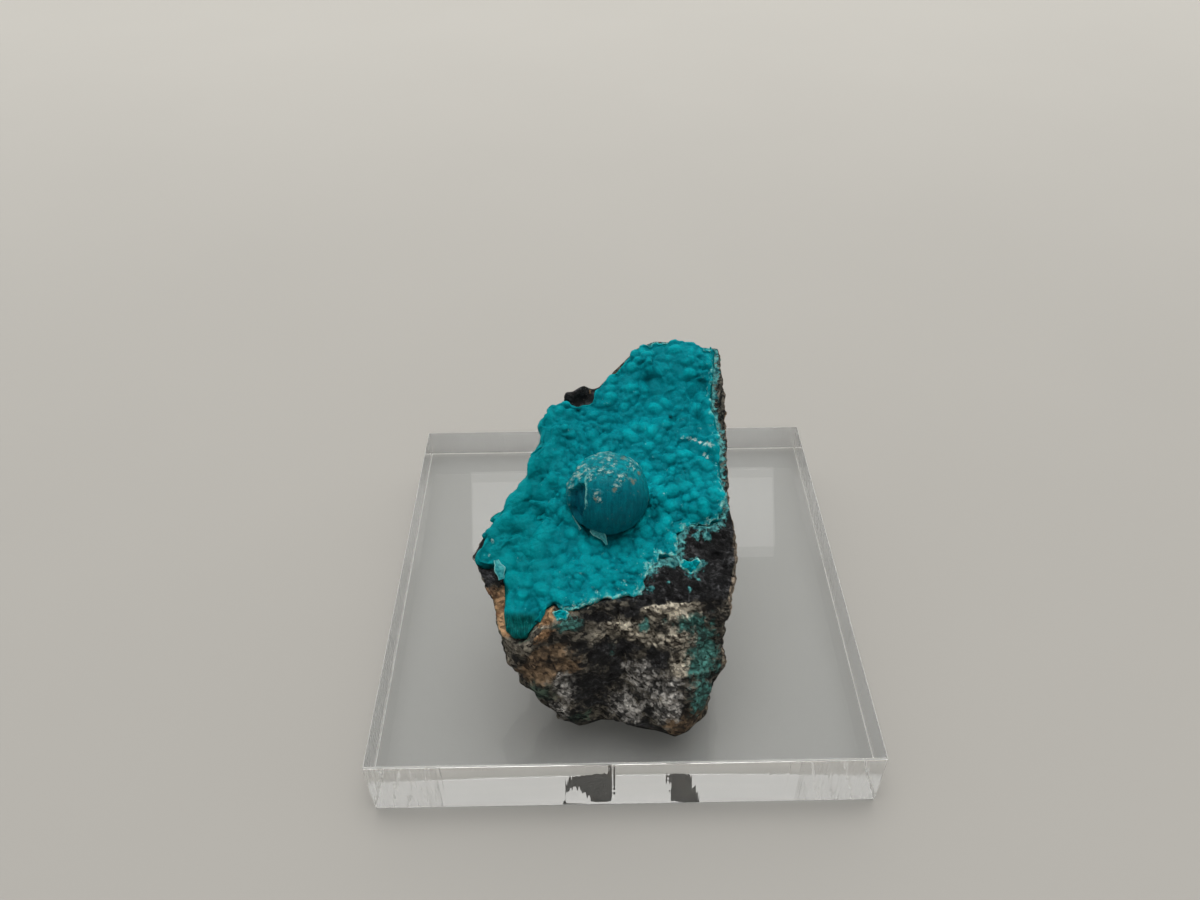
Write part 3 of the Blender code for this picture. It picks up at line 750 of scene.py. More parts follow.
def crust_material():
    """Waxy blue-green skin: painted shade in the hollows, a painted highlight on the bubble tops, painted
    shade over the front-left, and pale at the rim.
    """
    material, nodes, shader = start_material("chrysocolla_skin")
    # Painted shade and highlight: the skin is darker in the hollows and lighter on the bubble tops, by their
    # height
    lift = nodes.mask("lift")
    colour = nodes.mixed(nodes.ranged(lift, 0.0, 0.5), tint(0, 122, 133), tint(0, 143, 152))
    painted_top_light = nodes.times(nodes.ranged(lift, 0.4, 1.0), nodes.mask("tone"))
    colour = nodes.mixed(nodes.ranged(painted_top_light, 0.1, 0.9), colour, tint(0, 167, 176))
    colour = nodes.drift(nodes.drift(colour, 2.4 * MM, 0.3), 0.2 * MM, 0.2)
    # Painted shade: the crust's front-left is darker
    colour = nodes.mixed(nodes.times(nodes.mask("painted_left_shade"), 0.55), colour, tint(0, 122, 126))
    # The front-left lobe's wall is fibrous and darker: partly its own colour, partly painted shade
    fibres = nodes.noise(0.14 * MM, 3.0, 0.6, nodes.drawn_out((1.0, 5.0, 5.0)))
    fibrous = nodes.mixed(nodes.ranged(fibres, 0.35, 0.7), tint(0, 66, 66), tint(8, 108, 106))
    colour = nodes.mixed(nodes.mask("wall"), colour, fibrous)
    pale = nodes.mottled(0.3 * MM, 4.0, tint(46, 184, 186), tint(164, 212, 202))
    colour = nodes.mixed(nodes.ragged("rim", 0.55 * MM, 2.6, 0.22), colour, pale)
    colour = nodes.mixed(nodes.ragged("streak", 0.3 * MM, 1.5, 0.15), colour, tint(176, 206, 200))
    specks = nodes.ranged(nodes.noise(0.5 * MM, 5.0, 0.7), 0.72, 0.78)
    colour = nodes.mixed(specks, colour, tint(70, 180, 182))
    fine = nodes.noise(0.14 * MM, 4.0, 0.6)
    cells = {"Vector": nodes.place(), "Scale": 1 / (0.26 * MM)}
    beads = nodes.add("ShaderNodeTexVoronoi", cells, feature="SMOOTH_F1")["Distance"]
    nodes.feed(shader.inputs, {
        "Base Color": colour, "Roughness": nodes.ranged(fine, 0.3, 0.7, 0.5, 0.7),
        "Specular IOR Level": 0.04, "Subsurface Weight": 0.7, "Subsurface Radius": (0.2, 1.0, 1.0),
        "Subsurface Scale": 0.4 * MM, "Normal": nodes.bump(nodes.minus(fine, beads), 0.055 * MM),
    })
    return material


def ball_material():
    """Ball's skin: dark fibrous teal below, partly its own colour and partly painted shade, flaky and pale
    above, blue-black in the cavity.
    """
    material, nodes, shader = start_material("chrysocolla_ball")
    fibres = nodes.noise(0.2 * MM, 4.0, 0.65, nodes.drawn_out((1.0, 6.25, 6.25)))
    fibrous = nodes.ranged(fibres, 0.3, 0.7)
    colour = nodes.mixed(fibrous, tint(0, 86, 99), tint(0, 107, 119))
    skin = nodes.mottled(0.5 * MM, 5.0, tint(0, 101, 111), tint(0, 138, 148))
    # Painted shade: the lower part stays darker teal than the upper skin, partly its own colour and partly
    # painted shade
    colour = nodes.mixed(nodes.mask("upper"), colour, skin)
    slanted = nodes.drawn_out((1.0, 1.0, 2.6), (0.5, 0.6, 0.0))
    strokes = nodes.ranged(nodes.noise(0.28 * MM, 4.0, 0.65, slanted), 0.48, 0.62)
    flakes = nodes.times(nodes.ragged("flake", 0.6 * MM, 1.8, 0.3), strokes)
    pale = nodes.mixed(nodes.noise(0.3 * MM, 4.0), tint(70, 158, 156), tint(196, 198, 184))
    colour = nodes.mixed(flakes, colour, pale)
    rusty = nodes.times(nodes.ragged("rust", 0.35 * MM, 3.2, 0.25), 0.6)
    colour = nodes.mixed(rusty, colour, tint(128, 116, 92))
    dark = nodes.mixed(fibrous, tint(0, 76, 94), tint(0, 104, 121))
    colour = nodes.mixed(nodes.mask("cavity"), colour, dark)
    colour = nodes.mixed(nodes.ragged("seam", 0.35 * MM, 2.2, 0.25), colour, tint(104, 172, 168))
    relief = nodes.plus(nodes.noise(0.12 * MM, 4.0, 0.6), nodes.times(fibres, 0.7))
    nodes.feed(shader.inputs, {
        "Base Color": nodes.drift(colour, 0.2 * MM, 0.25),
        "Roughness": nodes.ranged(flakes, 0.0, 1.0, 0.42, 0.7),
        "Specular IOR Level": 0.06, "Normal": nodes.bump(relief, 0.04 * MM),
    })
    return material


def film_material():
    """Thin film of the chips: paler on its fine folds and along its edges."""
    material, nodes, shader = start_material("chrysocolla_film")
    folds = nodes.ranged(nodes.noise(0.22 * MM, 4.0), 0.35, 0.65)
    colour = nodes.mixed(folds, tint(8, 122, 132), tint(60, 168, 170))
    colour = nodes.mixed(nodes.times(nodes.mask("edge"), 0.7), colour, tint(140, 204, 200))
    nodes.feed(shader.inputs, {
        "Base Color": colour, "Roughness": nodes.ranged(folds, 0.0, 1.0, 0.3, 0.5),
        "Normal": nodes.bump(folds, 0.02 * MM),
    })
    return material


def rock_material():
    """Broken matrix: dark crumbly ground with patches of its minerals over one another,
    with painted shade in its hollows, painted light on its crests and a film of crust here and there."""
    material, nodes, shader = start_material("matrix_minerals")
    for number, (label, (dark, light, size, balance)) in enumerate(MINERAL_LOOKS.items()):
        grain = {"Dark": tint(*dark), "Light": tint(*light), "Scale": 1 / (size * MM), "Balance": balance}
        look = nodes.add("ShaderNodeGroup", grain, node_tree=GRAIN)
        if label == "ground":
            colour = look["Colour"]
            height = look["Height"]
        else:
            mask = nodes.ragged(label, 0.9 * MM, 1.8, 0.18, 3.0 * number)
            colour = nodes.mixed(mask, colour, look["Colour"])
    colour = nodes.drift(colour, 1.5 * MM, 0.45)
    # Painted shade in the hollows and painted light on the crests, by the relief mask
    colour = nodes.shaded(colour, nodes.ranged(nodes.mask("relief"), 0.1, 0.9), 0.4, 1.2)
    teal = nodes.mottled(0.45 * MM, 5.0, tint(0, 92, 100), tint(110, 196, 194))
    colour = nodes.mixed(nodes.ragged("film", 0.5 * MM, 2.2, 0.14), colour, teal)
    relief = nodes.plus(nodes.times(height, 1.2), nodes.noise(0.12 * MM, 6.0, 0.7))
    nodes.feed(shader.inputs, {
        "Base Color": colour, "Roughness": nodes.ranged(nodes.mask("black"), 0.3, 0.8, 0.82, 0.45),
        "Specular IOR Level": 0.3, "Normal": nodes.bump(relief, 0.16 * MM),
    })
    return material


def acrylic_material():
    """Clear cast acrylic with a haze where it is sawn. Shadow rays and soft bounced light
    pass straight through it, so that the floor below stays lit, with less passing through
    its sides."""
    material, nodes, shader = start_material("clear_acrylic")
    shader.inputs["Roughness"].default_value = 0.0
    sawn = nodes.mask("sawn")
    scuffed = nodes.ranged(nodes.noise(0.9 * MM, 5.0, 0.7), 0.62, 0.85, 0.0, 0.1)
    nodes.feed(shader.inputs, {
        "Base Color": (0.985, 0.99, 0.985, 1.0), "IOR": 1.49, "Transmission Weight": 1.0,
        "Roughness": nodes.plus(scuffed, nodes.times(sawn, 0.35)),
    })
    dimmed = nodes.mixed(nodes.mask("side"), (0.875, 0.893, 0.91, 1.0), (0.37, 0.375, 0.378, 1.0))
    clear = nodes.add("ShaderNodeBsdfTransparent", {"Color": dimmed})["BSDF"]
    white = {"Color": (0.92, 0.91, 0.88, 1.0)}
    outer_haze = nodes.add("ShaderNodeBsdfDiffuse", white)["BSDF"]
    inner_haze = nodes.add("ShaderNodeBsdfTranslucent", white)["BSDF"]
    haze_share = nodes.times(nodes.math("POWER", sawn, 0.6), 0.75)
    body = nodes.blend(haze_share, shader.outputs["BSDF"], nodes.blend(0.5, outer_haze, inner_haze))
    path = nodes.add("ShaderNodeLightPath")
    for ray in ("Is Diffuse Ray", "Is Shadow Ray"):
        body = nodes.blend(path[ray], body, clear)
    nodes.feed(material.node_tree.nodes["Material Output"].inputs, {"Surface": body})
    return material


def floor_material():
    """Plain pale paper with a faint tone, painted a little lighter towards the back as painted light."""
    material, nodes, shader = start_material("pale_paper")
    depth = nodes.add("ShaderNodeSeparateXYZ", {0: nodes.place()})["Y"]
    # Painted light: the paper gets lighter towards the back
    pale = nodes.mixed(nodes.ranged(depth, -0.04, 0.28), tint(167, 164, 159), tint(189, 186, 180))
    nodes.feed(shader.inputs, {"Base Color": nodes.drift(pale, 60 * MM, 0.03), "Roughness": 0.9})
    return material


def crust_bubbles(points, large_share, small_share):
    """Height above their mean level of bubbles of three sizes blended together, with tiny
    ones riding on all of them; height of broad lumps below them; and the bubbles' tone.
    Large or small ones come in where their share is high."""
    warp = np.stack([value_noise(points, WARP_CELL, 47 + axis) for axis in range(3)], axis=-1)
    warped = points + BUBBLE_WARP * warp
    middle, tone = bubble_field(warped, BUBBLE_CELL, 11)
    small = bubble_field(warped, SMALL_BUBBLE_CELL, 21)[0]
    large = bubble_field(warped, LARGE_BUBBLE_CELL, 31)[0]
    tiny = bubble_field(points, TINY_BUBBLE_CELL, 41)[0]
    broad = bubble_field(warped, BROAD_LUMP_CELL, 61)[0]
    sizes = np.stack([
        (1.0 - 0.25 * large_share - 0.3 * small_share) * middle,
        (1.0 + 0.2 * small_share) * small,
        0.95 * large_share * large,
    ]) / MM
    height = (sizes ** BUBBLE_BLEND).sum(axis=0) ** (1.0 / BUBBLE_BLEND) * MM
    height += TINY_BUBBLE_SHARE * (tiny - 0.5 * TINY_BUBBLE_CELL)
    height -= BUBBLE_LEVEL * (1.0 + 0.6 * large_share - 0.2 * small_share)
    return height, BROAD_LUMP_SHARE * (broad - 0.5 * BROAD_LUMP_CELL), tone


def mound_heights(flat):
    """Height of the mounds and hollows: each is a smooth bell over its radius."""
    total = np.zeros(flat.shape[:-1])
    for s, t, radius, height in CRUST_MOUNDS:
        total += height * smooth_step(radius, 0.0, np.hypot(flat[..., 0] - s, flat[..., 1] - t))
    return total


def crust_base(flat):
    """Height of the crust's top under its bubbles: slow swells, named mounds, and a fall at
    the front lobe and the left wing. Round the ball it drops to the ball's neck. The second
    value is 0 there and 1 on open ground."""
    s, t = np.moveaxis(flat, -1, 0)
    swell = SWELL_HEIGHT * value_noise(on_face(flat), SWELL_CELL, 3)
    lobe = smooth_step(-6.5 * MM, FRONT_LOBE_S, s) * np.maximum(0.5 * MM - t, 0.0)
    wing = np.maximum(WING_S - s, 0.0)
    height = swell - FRONT_LOBE_DROP * lobe - WING_DROP * wing + mound_heights(flat)
    height = np.maximum(height, CRUST_LOWEST_LIP)
    neck = math.sqrt(BALL_RADIUS ** 2 - (BALL_H - BALL_NECK_H) ** 2)
    from_ball = np.linalg.norm(flat - BALL_CENTRE, axis=-1)
    open_ground = smooth_step(neck - 0.2 * MM, neck + BALL_MOAT, from_ball)
    return BALL_NECK_H + (height - BALL_NECK_H) * open_ground, open_ground


def crust_edge(even):
    """Edge of the crust, from even points on its outline: they move along their directions
    from the ball by noise all round, by lobes along the left and by coarser noise where the
    edge is broken."""
    broken = np.maximum(region("edge on bare rock", even), 0.5 * region("front edge", even))
    lobes = scattered_domes(even, LEFT_LOBE_CELL, LEFT_LOBE_RADII, 48) - 0.25 * MM
    waver = EDGE_WAVER * layered_noise(on_face(even), 1.1 * MM, 3, 44)
    waver += LEFT_LOBE_SHARE * region("left edge", even) * lobes
    waver += EDGE_BREAKS * broken * layered_noise(on_face(even), 0.95 * MM, 4, 46)
    return even + unit(even - BALL_CENTRE) * waver[:, None]


def make_crust(material):
    """Closed ring of crust round the ball. Rows run out from the ball to the edge, round a
    lip that is a quarter circle, down the side and back along the flat underside; columns
    run round, evenly at the edge. Bubbles push the surface out along its own normals."""
    even = resample(CRUST_OUTLINE, CRUST_COLUMNS)
    outward = unit(even - BALL_CENTRE)
    exposed = region("edge on bare rock", even)
    edge = crust_edge(even)
    inner = BALL_CENTRE + CRUST_INNER_RADIUS * outward
    lip = CRUST_LIP * (1.0 - 0.55 * exposed)
    share = np.linspace(0.0, 1.0, CRUST_TOP_ROWS)[:, None, None]
    flat = inner + (edge - lip[:, None] * outward - inner) * share
    height, open_ground = crust_base(flat)
    inside = CRUST_LIP - outline_distance(flat, CRUST_OUTLINE)
    height -= EDGE_THINNING * exposed * np.exp(-np.maximum(inside, 0.0) / (0.9 * MM))

    round_lip = math.pi / 2 * steps(CRUST_LIP_ROWS)
    lip_flat = edge + (lip * (np.sin(round_lip) - 1.0))[..., None] * outward
    lip_height = height[-1] - lip * (1.0 - np.cos(round_lip))
    down = steps(CRUST_SIDE_ROWS)
    side_flat = np.broadcast_to(edge, (CRUST_SIDE_ROWS, CRUST_COLUMNS, 2))
    side_height = lip_height[-1] + (CRUST_UNDERSIDE - lip_height[-1]) * down
    under_flat = inner + (edge - inner) * (1.0 - steps(CRUST_UNDER_ROWS)[..., None])
    under_height = np.full(under_flat.shape[:-1], CRUST_UNDERSIDE)
    side_bubbles = np.broadcast_to(1.0 - 0.8 * down ** 2, side_height.shape)

    flat = np.concatenate([flat, lip_flat, side_flat, under_flat])
    height = np.concatenate([height, lip_height, side_height, under_height])
    bubbly = [open_ground, np.ones(lip_height.shape), side_bubbles, np.zeros(under_height.shape)]
    bubbly = np.concatenate(bubbly)
    points = face_to_world(flat, height)
    left = region("large bubbles", flat)
    back = region("back", flat)
    flap = region("flap", flat)
    large_share = np.maximum(0.75 * left, 0.35 * back)
    bubbles, lumps, tone = crust_bubbles(points, large_share, region("small bubbles", flat))
    strong = np.maximum(left, back)
    lumps = lumps * (0.4 + 0.6 * strong)
    relief = BUBBLE_RELIEF * (FRONT_RELIEF + (1.0 - FRONT_RELIEF) * strong) * (1.0 - 0.8 * flap)
    points = points + grid_normals(points) * ((relief * bubbles + lumps) * bubbly)[..., None]

    from_edge = np.linalg.norm(flat - edge, axis=-1)
    below_lip = np.zeros(len(flat))
    below_lip[CRUST_TOP_ROWS + CRUST_LIP_ROWS:] = 1.0
    below_lip[CRUST_TOP_ROWS + CRUST_LIP_ROWS:-CRUST_UNDER_ROWS] = down[:, 0]
    fringe = np.maximum(exposed, region("front edge", even))
    fringe = np.maximum(fringe, 0.7 * region("right edge", flat))
    rim = fringe * np.exp(-from_edge / RIM_WIDTH) * smooth_step(0.5, 0.0, below_lip)[:, None]
    # The height mask carries painted shade for the hollows and a painted highlight for the bubble tops
    masks = {
        "lift": np.clip(0.45 + bubbles / (0.5 * MM) + lumps / (1.1 * MM), 0.0, 1.0) * bubbly,
        "tone": tone, "rim": RIM_STRENGTH * rim, "streak": 0.66 * spot_mask(flat, WHITE_FLECKS),
        # this region mask paints shade over the crust's front-left
        "wall": flap, "painted_left_shade": region("painted_left_shade", flat),
    }
    faces = grid_faces(len(points), CRUST_COLUMNS, closed_rows=True)
    add_piece("chrysocolla_crust_skin", points.reshape(-1, 3), faces, material,
              "chrysocolla", "chrysocolla_crust", masks)


def make_ball(material):
    """Large ball as a radius over its directions, on a grid of columns round it and rows
    down it. Its skin is split: left of the seam a shell stands off, and below the shell's
    broken edge a cavity opens, with the shell's thin wall at its far side."""
    turn = np.arange(BALL_COLUMNS) * 2 * math.pi / BALL_COLUMNS
    fall = ((np.arange(BALL_ROWS) + 0.5) * math.pi / BALL_ROWS)[:, None]
    direction = np.stack([
        np.sin(fall) * np.cos(turn), np.sin(fall) * np.sin(turn), np.cos(fall) * np.ones_like(turn),
    ], axis=-1)
    places = direction * BALL_RADIUS
    s, t, h = np.moveaxis(places, -1, 0)
    waver = 0.22 * MM * layered_noise(places, 1.1 * MM, 4, 51)
    from_seam = s + waver - np.interp(t, BALL_SEAM_T, BALL_SEAM_S)
    shell = smooth_mm(0.06, -0.1, from_seam)
    low = smooth_mm(0.15, -0.25, t - BALL_CAVITY_TOP_T + 3 * waver)
    open_side = smooth_mm(-0.06, 0.08, s + 0.5 * waver - BALL_SHELL_WALL_S)
    cavity = shell * low * open_side * smooth_mm(-0.9, -0.3, h)

    grooves = layered_noise(places * np.array([1.0, 0.18, 0.18]), 0.28 * MM, 2, 53)
    # Upper part of the ball: above it the skin is lighter and flaky, below it darker, partly its own colour
    # and partly painted shade
    upper = smooth_mm(-1.6, 0.6, t + 0.8 * MM * layered_noise(places, 1.4 * MM, 2, 54))
    patches = smooth_step(-0.25, 0.5, layered_noise(places, 1.3 * MM, 3, 57))
    flake = np.maximum(spot_mask(places, BALL_FLAKES), 0.75 * patches * upper) * (1.0 - cavity)
    raised = smooth_step(0.35, 0.6, flake + 0.6 * layered_noise(places, 0.5 * MM, 3, 56))
    radius = BALL_CORE_RADIUS + 0.14 * MM * layered_noise(places, 2.1 * MM, 4, 52)
    radius += (1.0 - upper) * BALL_GROOVE_DEPTH * grooves
    radius += shell * (BALL_SHELL_RADIUS - BALL_CORE_RADIUS) * smooth_mm(2.4, 0.4, t)
    radius += BALL_FLAKE_HEIGHT * raised
    radius -= cavity * (BALL_CAVITY_DEPTH + 0.1 * MM * grooves)
    seam = np.clip(1.0 - np.abs(from_seam - 0.1 * MM) / (0.3 * MM), 0.0, 1.0) * smooth_mm(1.0, 0.0, t)
    seam = seam * smooth_mm(-3.2, -2.0, t) * (h > 0)
    wall = np.clip(1.0 - np.abs(s - BALL_SHELL_WALL_S + 0.1 * MM) / (0.2 * MM), 0.0, 1.0)
    wall = wall * low * (h > -1 * MM)

    offset = direction * radius[..., None]
    height = np.maximum(BALL_H + offset[..., 2], BALL_LOWEST_H)
    points = face_to_world(BALL_CENTRE + offset[..., :2], height)
    masks = {
        "upper": upper, "flake": flake, "rust": spot_mask(places, BALL_RUST_SPOTS),
        "cavity": cavity, "seam": np.maximum(0.75 * seam, 0.3 * wall),
    }
    add_piece("chrysocolla_ball", *capped(points), material, "chrysocolla", "chrysocolla_crust", masks)


def make_chip(name, line, widths, thickness, lean, material):
    """Thin chip along a line of places on the face: its section is a flat oval, curled and
    leaning sideways by an angle, and its width grows and fades along the line."""
    line = np.array(line) * MM
    share = np.linspace(0.0, 1.0, CHIP_ROWS)
    knots = np.linspace(0.0, 1.0, len(line))
    centre = np.stack([
        np.convolve(np.pad(np.interp(share, knots, line[:, axis]), 4, mode="edge"), np.ones(9) / 9, "valid")
        for axis in range(3)
    ], axis=1)
    ahead = unit(np.gradient(centre, axis=0))
    across = unit(np.cross([0.0, 0.0, 1.0], ahead))
    rise = np.cross(ahead, across)
    wide = math.cos(lean) * across + math.sin(lean) * rise
    thin = -math.sin(lean) * across + math.cos(lean) * rise
    width = np.interp(share, np.linspace(0.0, 1.0, len(widths)), widths) * MM
    width = (width * (1.0 + 0.25 * value_noise(centre, 0.5 * MM, 61)))[:, None]
    turn = np.arange(CHIP_COLUMNS) * 2 * math.pi / CHIP_COLUMNS
    wide_share = np.cos(turn)
    thin_share = np.sin(turn) * (0.55 + 0.45 * np.abs(wide_share))
    out = thickness * MM * thin_share + 0.25 * width * wide_share ** 2
    places = centre[:, None] + wide[:, None] * (width * wide_share)[..., None]
    places = places + thin[:, None] * out[..., None]
    points = face_to_world(places[::-1, :, :2], places[::-1, :, 2])
    edge = smooth_step(0.7, 0.98, np.abs(wide_share)) * np.ones((CHIP_ROWS, 1))
    add_piece(name, *capped(points), material, "chrysocolla", "chrysocolla_crust", {"edge": edge})


def make_remnant(name, outline, height, material):
    """Small rest of crust on the bare rock: rows run out from its middle to its outline and
    down its side. Its top is the rock's own height and a low dome with bubbles on it."""
    outline = np.array(outline) * MM
    edge = resample(outline, REMNANT_COLUMNS)
    centre = outline.mean(axis=0)
    waver = 0.3 * MM * layered_noise(on_face(edge), 0.7 * MM, 3, 71)
    edge = edge + unit(edge - centre) * waver[:, None]
    share = np.linspace(0.04, 1.0, REMNANT_ROWS)[:, None]
    flat = centre + (edge - centre) * share[..., None]
    domes = scattered_domes(flat, 0.55 * MM, (0.2 * MM, 0.42 * MM), 72)
    dome = (height * MM + 0.4 * domes) * np.sqrt(1.0 - 0.98 * share ** 2)
    top = face_to_world(flat, rock_top_height(flat)[0] + dome)
    under_flat = np.stack([edge, centre + (edge - centre) * 0.1])
    under = face_to_world(under_flat, rock_top_height(under_flat)[0] - 0.3 * MM)
    below = np.ones((len(under), REMNANT_COLUMNS))
    rim = 0.8 * smooth_step(0.6, 1.0, share) * np.ones(REMNANT_COLUMNS)
    # The height mask carries painted shade for the hollows between the domes and a painted highlight for
    # their tops
    masks = {
        "lift": np.concatenate([0.5 + np.clip(domes / (0.8 * MM), 0.0, 0.5), 0.4 * below]),
        "rim": np.concatenate([rim, below]),
        "tone": np.full((len(top) + len(under), REMNANT_COLUMNS), 0.5),
    }
    points = np.concatenate([top, under])
    add_piece(name, *capped(points), material, "chrysocolla", "chrysocolla_crust", masks)


def foot_outline_points(top_loop):
    """Foot outline points in the same directions from its middle as the top loop's."""
    foot = resample(FOOT_OUTLINE, 360)
    foot_middle = foot.mean(axis=0)
    direction = np.arctan2(*(top_loop - top_loop.mean(axis=0))[:, 1::-1].T)
    foot_direction = np.arctan2(*(foot - foot_middle)[:, ::-1].T)
    reach = np.linalg.norm(foot - foot_middle, axis=1)
    length = np.interp(direction, foot_direction, reach, period=2 * math.pi)
    return foot_middle + length[:, None] * np.stack([np.cos(direction), np.sin(direction)], axis=1)


def foot_height(flat):
    """Height of the foot's underside: just in the slab's skin where it rests, arched
    between its points of rest, with a hollow open to the back."""
    along = np.clip(flat[..., 1], HOLLOW_FRONT_Y, HOLLOW_BACK_Y)
    apart = np.hypot(flat[..., 0] - HOLLOW_X, flat[..., 1] - along)
    hollow = HOLLOW_LIFT * (1.0 - smooth_step(0.4 * HOLLOW_RADIUS, HOLLOW_RADIUS, apart))
    arches = FOOT_ARCH * np.maximum(value_noise(on_face(flat), 2.6 * MM, 81), 0.0)
    return SLAB_TOP - FOOT_SINK + hollow + arches


def rock_top_height(flat):
    """Height of the rock's top, its fine relief and the distance outside the crust. The top
    is flat under the crust and higher and bubbly where it is bare; beside the bare front it
    starts to rise under the crust's edge."""
    outside = outline_distance(flat, CRUST_OUTLINE)
    start = ROCK_BARE_MARGIN * (1.0 - 2.5 * region("bare rock", flat))
    bare = smooth_step(0.0, 2 * ROCK_BARE_MARGIN, outside - start)
    rough = 1.0 + 0.4 * value_noise(on_face(flat), ROCK_FINE_CELL, 21)
    bubbles = scattered_domes(flat, 0.6 * MM, (0.2 * MM, 0.4 * MM), 82)
    ridges = 0.3 - np.abs(layered_noise(on_face(flat), 1.4 * MM, 4, 83))
    crumbs = 0.4 * layered_noise(on_face(flat), 0.6 * MM, 3, 86)
    relief = 0.5 * bubbles + 0.8 * MM * (ridges + crumbs)
    return ROCK_TOP_H + bare * (ROCK_BARE_RISE * rough + relief), relief, outside


def rock_sides(top_loop, foot_loop):
    """Rows down the sides: straight between the loops, pushed out by two bulges, by stepped
    coarse noise that makes ledges, and by fine noise."""
    outward = unit(top_loop[:, :2] - top_loop[:, :2].mean(axis=0))
    corner = (math.cos(ROCK_CORNER_DIRECTION), math.sin(ROCK_CORNER_DIRECTION))
    right = (math.cos(ROCK_RIGHT_DIRECTION), math.sin(ROCK_RIGHT_DIRECTION))
    bulge = ROCK_CORNER_BULGE * smooth_step(0.8, 1.0, outward @ corner)
    bulge = bulge + ROCK_RIGHT_BULGE * smooth_step(0.4, 0.9, outward @ right)
    share = steps(ROCK_SIDE_ROWS)
    points = top_loop * (1 - share[..., None]) + foot_loop * share[..., None]
    fade = smooth_step(0.0, 0.15, share) * smooth_step(1.0, 0.9, share)
    level = ROCK_LEDGES * value_noise(points, ROCK_COARSE_CELL, 31)
    ledge = np.floor(level) + smooth_step(0.3, 0.7, level - np.floor(level))
    coarse = ROCK_COARSE_DEPTH * ledge / ROCK_LEDGES
    fine = ROCK_FINE_DEPTH * value_noise(points, ROCK_FINE_CELL, 32)
    push = 4 * share * (1 - share) * bulge + fade * (coarse + fine)
    points[..., :2] += outward * push[..., None]
    return points


def patch_masks(points, normals):
    """Mask of each mineral: its named patches on the front, and slow noise elsewhere."""
    x = points[..., 0] + 0.5 * MM * layered_noise(points, 1.6 * MM, 2, 91)
    z = points[..., 2] + 0.5 * MM * layered_noise(points, 1.6 * MM, 2, 92)
    front = smooth_step(0.1, 0.5, -normals[..., 1])
    masks = {}
    for number, (label, patches) in enumerate(FRONT_PATCHES.items()):
        spots = [
            1.0 - 0.5 * np.hypot((x - px * MM) / (rx * MM), (z - pz * MM) / (rz * MM))
            for px, pz, rx, rz in patches
        ]
        named = np.clip(np.maximum.reduce(spots), 0.0, 1.0)
        loose = 0.2 + 0.75 * layered_noise(points, 3.6 * MM, 2, 93 + 3 * number)
        most = 0.6 if label == "orange" else 0.8
        masks[label] = front * named + (1.0 - front) * np.clip(loose, 0.0, most)
    return masks


def rock_masks(points, normals, side_share, flat, outside):
    """Masks of the minerals, the rind and the film. On the top, whose places and distances
    outside the crust are given, black takes the front and the left, the other minerals
    fade out, and named stains and film lie. The rind is on the right side, where noise
    hasn't worn it off."""
    masks = patch_masks(points, normals)
    rows = len(flat)
    on_top = np.zeros(points.shape[:2])
    face_t = (points[..., 1] - FACE_FRONT_Y) / math.cos(FACE_TILT)
    wavering_t = face_t + 0.5 * MM * value_noise(points, 1.2 * MM, 108)
    on_top[:rows] = smooth_mm(-0.6, 0.6, wavering_t[:rows])
    for label in masks:
        masks[label] = masks[label] * (1.0 - on_top)
    coaly = smooth_mm(10.0, 8.0, face_t) + smooth_mm(0.0, -1.0, points[..., 0])
    stain = spot_mask(flat, TOP_STAINS)
    masks["black"] += 0.9 * on_top * np.clip(coaly, 0.0, 1.0)
    masks["black"][:rows] *= 1.0 - stain
    masks["orange"][:rows] = 1.2 * stain

    wavering_x = points[..., 0] + 0.5 * MM * value_noise(points, 2 * MM, 106)
    right_side = smooth_mm(8.0, 9.5, wavering_x) * smooth_step(0.6, 0.85, normals[..., 0])
    unworn = np.clip(0.8 + 0.9 * layered_noise(points, 4.5 * MM, 3, 109), 0.0, 1.0)
    masks["rind"] = 0.85 * right_side * side_share * unworn

    film = FILM_STRENGTH * smooth_step(FILM_WIDTH, 0.0, outside) * region("film", flat)
    masks["film"] = np.zeros(points.shape[:2])
    masks["film"][:rows] = np.maximum(film, spot_mask(flat, FILM_SPOTS))
    return masks


def front_density(flat):
    """Share of the rock's columns over its outline: more of them towards the front."""
    return 1.0 + ROCK_FRONT_SHARE * smooth_mm(9.0, 5.0, flat[:, 1])


